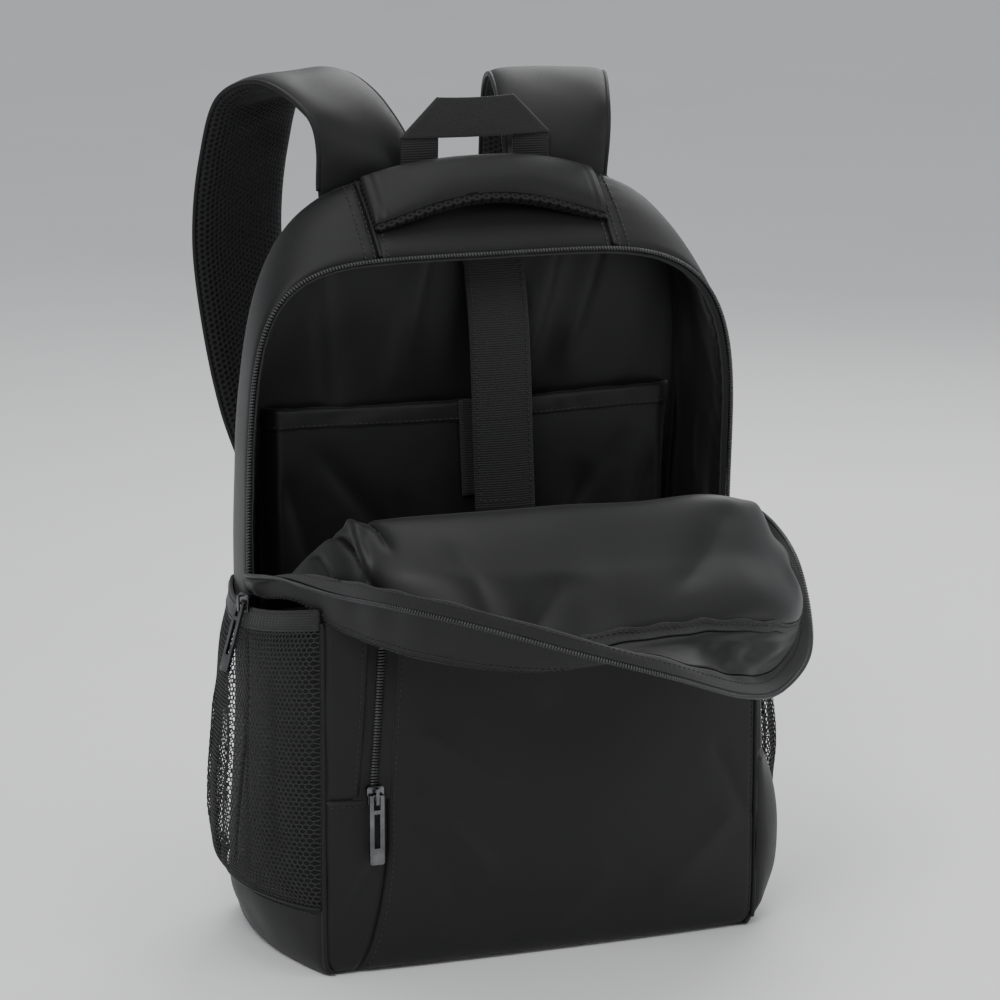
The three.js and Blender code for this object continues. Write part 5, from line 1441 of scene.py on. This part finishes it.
def loopLeg(side):
    def place(a, u):
        if side < 0:
            x = mix(loop["left"], loop["left"] + loop["width"], a)
        else:
            x = mix(loop["right"] - loop["leg"], loop["right"], a)
        out = x - loop["left"] if side < 0 else loop["right"] - x
        corner = loop["top"] - loop["width"] + out
        z = mix(loop["bottom"], corner, u)
        lean = (1 - u) * 1.2
        turned = 0 if side < 0 else 4 * (1 - a) * (1 - u)
        return point(x - side * 0.6 * math.sin(math.pi * u),
                     loop["y"] + loop["apart"] * foldIn(corner - z) - lean * 0.3 + turned, z)
    return place


def loopBand(a, u):
    z = mix(loop["top"] - loop["width"], loop["top"], u)
    drop = z - (loop["top"] - loop["width"])
    left, right = loop["left"] + drop, loop["right"] - drop
    x = mix(left, right, a)
    nearest = min(x - left, right - x)
    sag = 1.4 * math.sin(math.pi * a)
    return point(x, loop["y"] - loop["apart"] * foldIn(nearest) - 0.4 * math.sin(math.pi * a),
                 z - sag * 0.6)


addCloth("hangLegLeft", loopLeg(-1), 24, 46, -loop["cloth"] / 2, loop["cloth"] / 2, ribbedWebbing,
         ["hang_loop"])
addCloth("hangLegRight", loopLeg(1), 24, 46, -loop["cloth"] / 2, loop["cloth"] / 2, ribbedWebbing,
         [])
addCloth("hangBand", lambda a, u: loopBand(u, a), 24, 90, -loop["cloth"] / 2, loop["cloth"] / 2,
         ribbedWebbing, [])
print("stage: hanging loop")

# Shoulder straps: coated outside, net inside, piped edges
strap = {"x": {-1: 65, 1: 57}, "width": 73, "splay": {-1: 28, 1: 15}, "reach": 113,
         "rise": {-1: 60, 1: 55}, "end": 172, "baseY": backY - 27,
         "outer": 3.6, "inner": 7.2, "piping": 1.5}
strapTable = [(0, -0.03), (0.03, 0.35), (0.17, 0.74), (0.5, 1), (0.8, 0.8), (0.94, 0.15), (1, -0.14),
              (0.95, -0.31), (0.81, -0.52),
              (0.56, -0.73), (0.47, -0.9), (0.46, -1)]
strapWidths = [(0, 0.86), (0.1, 0.92), (0.25, 1), (0.7, 1), (0.9, 0.86), (1, 0.55)]
strapBase = topHeight - 6
strapCurves, strapWays = {}, {}
for side in (-1, 1):
    stops = [point(out * strap["reach"], 0, strapBase + up * strap["rise"][side]
                   if up > 0 else mix(strapBase, strap["end"], -up))
             for out, up in strapTable]
    strapCurves[side] = evenly([curveAt(stops, k / 600, even=True) for k in range(601)], 1.2)
    ways = np.gradient(strapCurves[side], axis=0)
    strapWays[side] = ways / np.linalg.norm(ways, axis=1, keepdims=True)


def strapPoint(side, across, way, lift):
    line, ways = strapCurves[side], strapWays[side]
    at = way * (len(line) - 1)
    index = min(int(at), len(line) - 2)
    middle = mix(line[index], line[index + 1], at - index)
    along = mix(ways[index], ways[index + 1], at - index)
    splay = math.radians(strap["splay"][side])
    twist = splay * float(smooth(way / 0.12))
    out = point(side * math.sin(splay), math.cos(splay), 0)
    wide = point(math.cos(twist), -side * math.sin(twist), 0)
    half = strap["width"] / 2 * readSmooth(strapWidths, way)
    return point(side * strap["x"][side], strap["baseY"],
                 middle[2]) + out * middle[0] + wide * across * half \
        + (out * -along[2] + point(0, 0, along[0])) * lift


strapA, strapW = np.meshgrid(np.linspace(-1, 1, 41), np.linspace(0, 1, 261))
strapEdge = np.maximum(1 - np.abs(strapA) ** 5, 0) ** 0.7
strapEndTaper = 0.6 + 0.4 * smooth(strapW / 0.06) * smooth((1 - strapW) / 0.08)
for side, name in ((-1, "left"), (1, "right")):
    middle = gridOf(lambda a, w: strapPoint(side, 2 * a - 1, w, 0), 40, 260)
    bend = bump(strapW, 0.3, 0.3)
    outerLift = (0.5 + strap["outer"] * strapEdge * strapEndTaper + ripple(middle, 60, 95) * 0.5
                 * strapEdge)[..., None]
    wrinkle = np.sin(strapW * 95 + 1.5 * np.sin(strapA * 2)) * 0.7 * bend * strapEdge
    innerLift = (-0.6 - strap["inner"] * strapEdge * strapEndTaper + wrinkle)[..., None]
    outer = addObject(f"strapOuter_{name}", wallMesh(f"strapOuter_{name}", middle,
                                                     np.zeros_like(outerLift), outerLift), coatedCloth,
                      [f"shoulder_strap_{name}"])
    inner = addObject(f"strapInner_{name}", wallMesh(f"strapInner_{name}", middle, innerLift,
                                                     np.full_like(innerLift, -0.1)), paddedNet,
                      [f"strap_net_{name}"])
    for column in (0, 40):
        addObject(f"strapPiping_{name}_{column}", tubeMesh(f"strapPiping_{name}_{column}",
                                                           middle[3:-3, column], strap["piping"], 10),
                  coatedCloth, [])
print("stage: shoulder straps")


# Hard pieces: rounded copies of the frame's own
def roundedCopy(name, node, width, material, rideOn="bag", segments=3):
    source = next(o for o in bpy.data.objects if o.get("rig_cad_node") == node)
    shape = bmesh.new()
    shape.from_mesh(source.data)
    shape.transform(source.matrix_world)
    bmesh.ops.remove_doubles(shape, verts=shape.verts, dist=1e-5)
    bmesh.ops.dissolve_limit(shape, angle_limit=math.radians(2), verts=shape.verts, edges=shape.edges)
    sharp = [e for e in shape.edges if len(e.link_faces) == 2 and e.calc_face_angle(0) > math.radians(28)]
    bmesh.ops.bevel(shape, geom=sharp, offset=width * mm, segments=segments, profile=0.6, affect="EDGES",
                    clamp_overlap=True)
    bmesh.ops.triangulate(shape, faces=[f for f in shape.faces if len(f.verts) > 4])
    mesh = bpy.data.meshes.new(name)
    shape.to_mesh(mesh)
    shape.free()
    mesh.shade_smooth()
    mesh.set_sharp_from_angle(angle=math.radians(50))
    return addObject(name, mesh, material, [node], rideOn)


hardware = {"buckleRound": 0.9, "sliderRound": 0.45, "pullRound": 0.4}
for name in ("left", "right"):
    roundedCopy(f"ladderBuckle_{name}", f"ladder_buckle_{name}", hardware["buckleRound"], mouldedPlastic)
for place, rideOn in (("pocket", "pocket_pull"), ("main", "main_pull")):
    roundedCopy(f"{place}Slider", f"{place}_zip_slider", hardware["sliderRound"], gunmetal)
    roundedCopy(f"{place}Pull", f"{place}_zip_pull", hardware["pullRound"], gunmetal, rideOn)

# Webbing of the straps, through the buckles, and the tabs in the lower back corners
webbing = {"width": 25, "cloth": 1.7, "hang": 5, "anchorX": 118, "anchorZ": 30, "tail": 74}
for side, name in ((-1, "left"), (1, "right")):
    splay = math.radians(strap["splay"][side])
    strapEnd = strapCurves[side][-1]
    endX = side * (strap["x"][side] + strapEnd[0] * math.sin(splay))
    endY = strap["baseY"] + strapEnd[0] * math.cos(splay)
    buckleTop = strap["end"] - 0.6
    low = point(side * webbing["anchorX"], backY + 6.4, webbing["anchorZ"])
    high = point(endX, endY - 2.9, buckleTop - 30.5)
    rising = []
    for k in range(41):
        u = 1 - k / 40
        rising.append((mix(high, low, u) + point(0, webbing["hang"] * math.sin(math.pi * u), 0),
                       -side * 6 * float(smooth(u * 2))))
    over = [(-2.9, -26), (-2.9, -16), (-2.8, -10.5), (-1.2, -8.2), (1.4, -8.2), (2.9, -10.5), (3.1, -16),
            (3.1, -26), (3.6, -40), (4.4, -60), (4.0, -webbing["tail"])]
    overLine = evenly([curveAt([point(endX, endY + dy, buckleTop + dz) for dy, dz in over], k / 120,
                               even=True) for k in range(121)], 1.5)
    path = rising[:-1] + [(p, 0) for p in overLine]

    def webPlace(a, u, path=path):
        at = u * (len(path) - 1)
        index = min(int(at), len(path) - 2)
        middle = mix(path[index][0], path[index + 1][0], at - index)
        turn = mix(path[index][1], path[index + 1][1], at - index)
        return middle + point((a - 0.5) * webbing["width"], 0, (a - 0.5) * turn)

    addCloth(f"strapWebbing_{name}", webPlace, 10, 3 * len(path), -webbing["cloth"] / 2,
             webbing["cloth"] / 2, ribbedWebbing, [f"strap_webbing_{name}"])
    hold = [(1.6, 12), (2.6, 4), (2.6, -1.5), (1.4, -5.4), (-1.4, -5.4), (-2.6, -1.5), (-2.6, 4),
            (-1.6, 12)]
    holdLine = evenly([curveAt([point(endX, endY + dy, buckleTop + dz) for dy, dz in hold], k / 80,
                               even=True) for k in range(81)], 1.0)

    def holdPlace(a, u, line=holdLine):
        at = u * (len(line) - 1)
        index = min(int(at), len(line) - 2)
        return mix(line[index], line[index + 1], at - index) + point((a - 0.5) * webbing["width"], 0, 0)

    addCloth(f"buckleHold_{name}", holdPlace, 10, 60, -0.7, 0.7, ribbedWebbing, [])

    def tabPlace(a, u, side=side):
        outerX = bodyHalfWidth(backY) - 4
        innerX = webbing["anchorX"] - webbing["width"] / 2
        x = mix(innerX, outerX, a)
        z = mix(mix(webbing["anchorZ"] - 12, webbing["anchorZ"] - 18, a),
                mix(webbing["anchorZ"] + 12, webbing["anchorZ"] + 34, a), u)
        return point(side * x, backY + 3.8, z)

    _, tabGrid = addCloth(f"strapTab_{name}", tabPlace, 20, 24, -1.1, 1.1, coatedCloth,
                          [f"strap_tab_{name}"], lambda grid, a, u: ripple(grid, 25, 97) * 0.2)
    faceLift = 1.25 if np.mean(normalsOf(tabGrid)[..., 1]) > 0 else -1.25
    for line in (lambda s: (mix(0.08, 0.92, s), 0.1), lambda s: (mix(0.08, 0.92, s), 0.9),
                 lambda s: (0.08, mix(0.1, 0.9, s)), lambda s: (0.45, mix(0.1, 0.9, s))):
        stitchOnCloth(stitches, tabGrid, line, faceLift, steps=40)
addLump("bodyStitches", stitches, sewingThread)
print("stage: hardware and webbing")

# Floor and light
light = {"key": 22, "fill": 8, "rim": 12, "top": 9, "world": 0.5}
floorMaterial, floorTree, floorShader = newMaterial("paleFloor")
floorSolid = addNode(floorTree, "ShaderNodeTexCoord").outputs["Object"]
floorTree.links.new(rampOf(floorTree, noiseOf(floorTree, floorSolid, 3.0),
                           [(0.3, (0.9, 0.9, 0.9)), (0.7, (0.93, 0.93, 0.93))]),
                    floorShader.inputs["Base Color"])
floorShader.inputs["Roughness"].default_value = 0.7
floorMesh = bpy.data.meshes.new("studioFloor")
floorMesh.from_pydata([(-6, -4, 0), (6, -4, 0), (6, 8, 0), (-6, 8, 0)], [], [(0, 1, 2, 3)])
floorMesh.materials.append(floorMaterial)
floorPiece = bpy.data.objects.new("studioFloor", floorMesh)
scene.collection.objects.link(floorPiece)

world = bpy.data.worlds.new("studioWorld")
scene.world = world
world.use_nodes = True
backdrop = world.node_tree.nodes["Background"]
backdrop.inputs["Color"].default_value = (0.95, 0.97, 1.0, 1)
backdrop.inputs["Strength"].default_value = light["world"]


def addLight(name, place, aim, size, power):
    data = bpy.data.lights.new(name, "AREA")
    data.shape = "RECTANGLE"
    data.size, data.size_y = size
    data.energy = power
    lamp = bpy.data.objects.new(name, data)
    scene.collection.objects.link(lamp)
    lamp.location = place
    lamp.rotation_euler = (Vector(aim) - Vector(place)).to_track_quat("-Z", "Y").to_euler()


addLight("keyLight", (-1.0, -1.3, 1.7), (0, -0.05, 0.25), (0.9, 0.9), light["key"])
addLight("fillLight", (1.6, -1.2, 0.9), (0, 0, 0.25), (1.0, 1.2), light["fill"])
addLight("rimLight", (0.9, 1.2, 1.3), (0, 0, 0.35), (1.0, 0.8), light["rim"])
addLight("topLight", (0, 0.1, 1.9), (0, 0, 0.3), (1.2, 1.0), light["top"])
print("stage: floor and light")
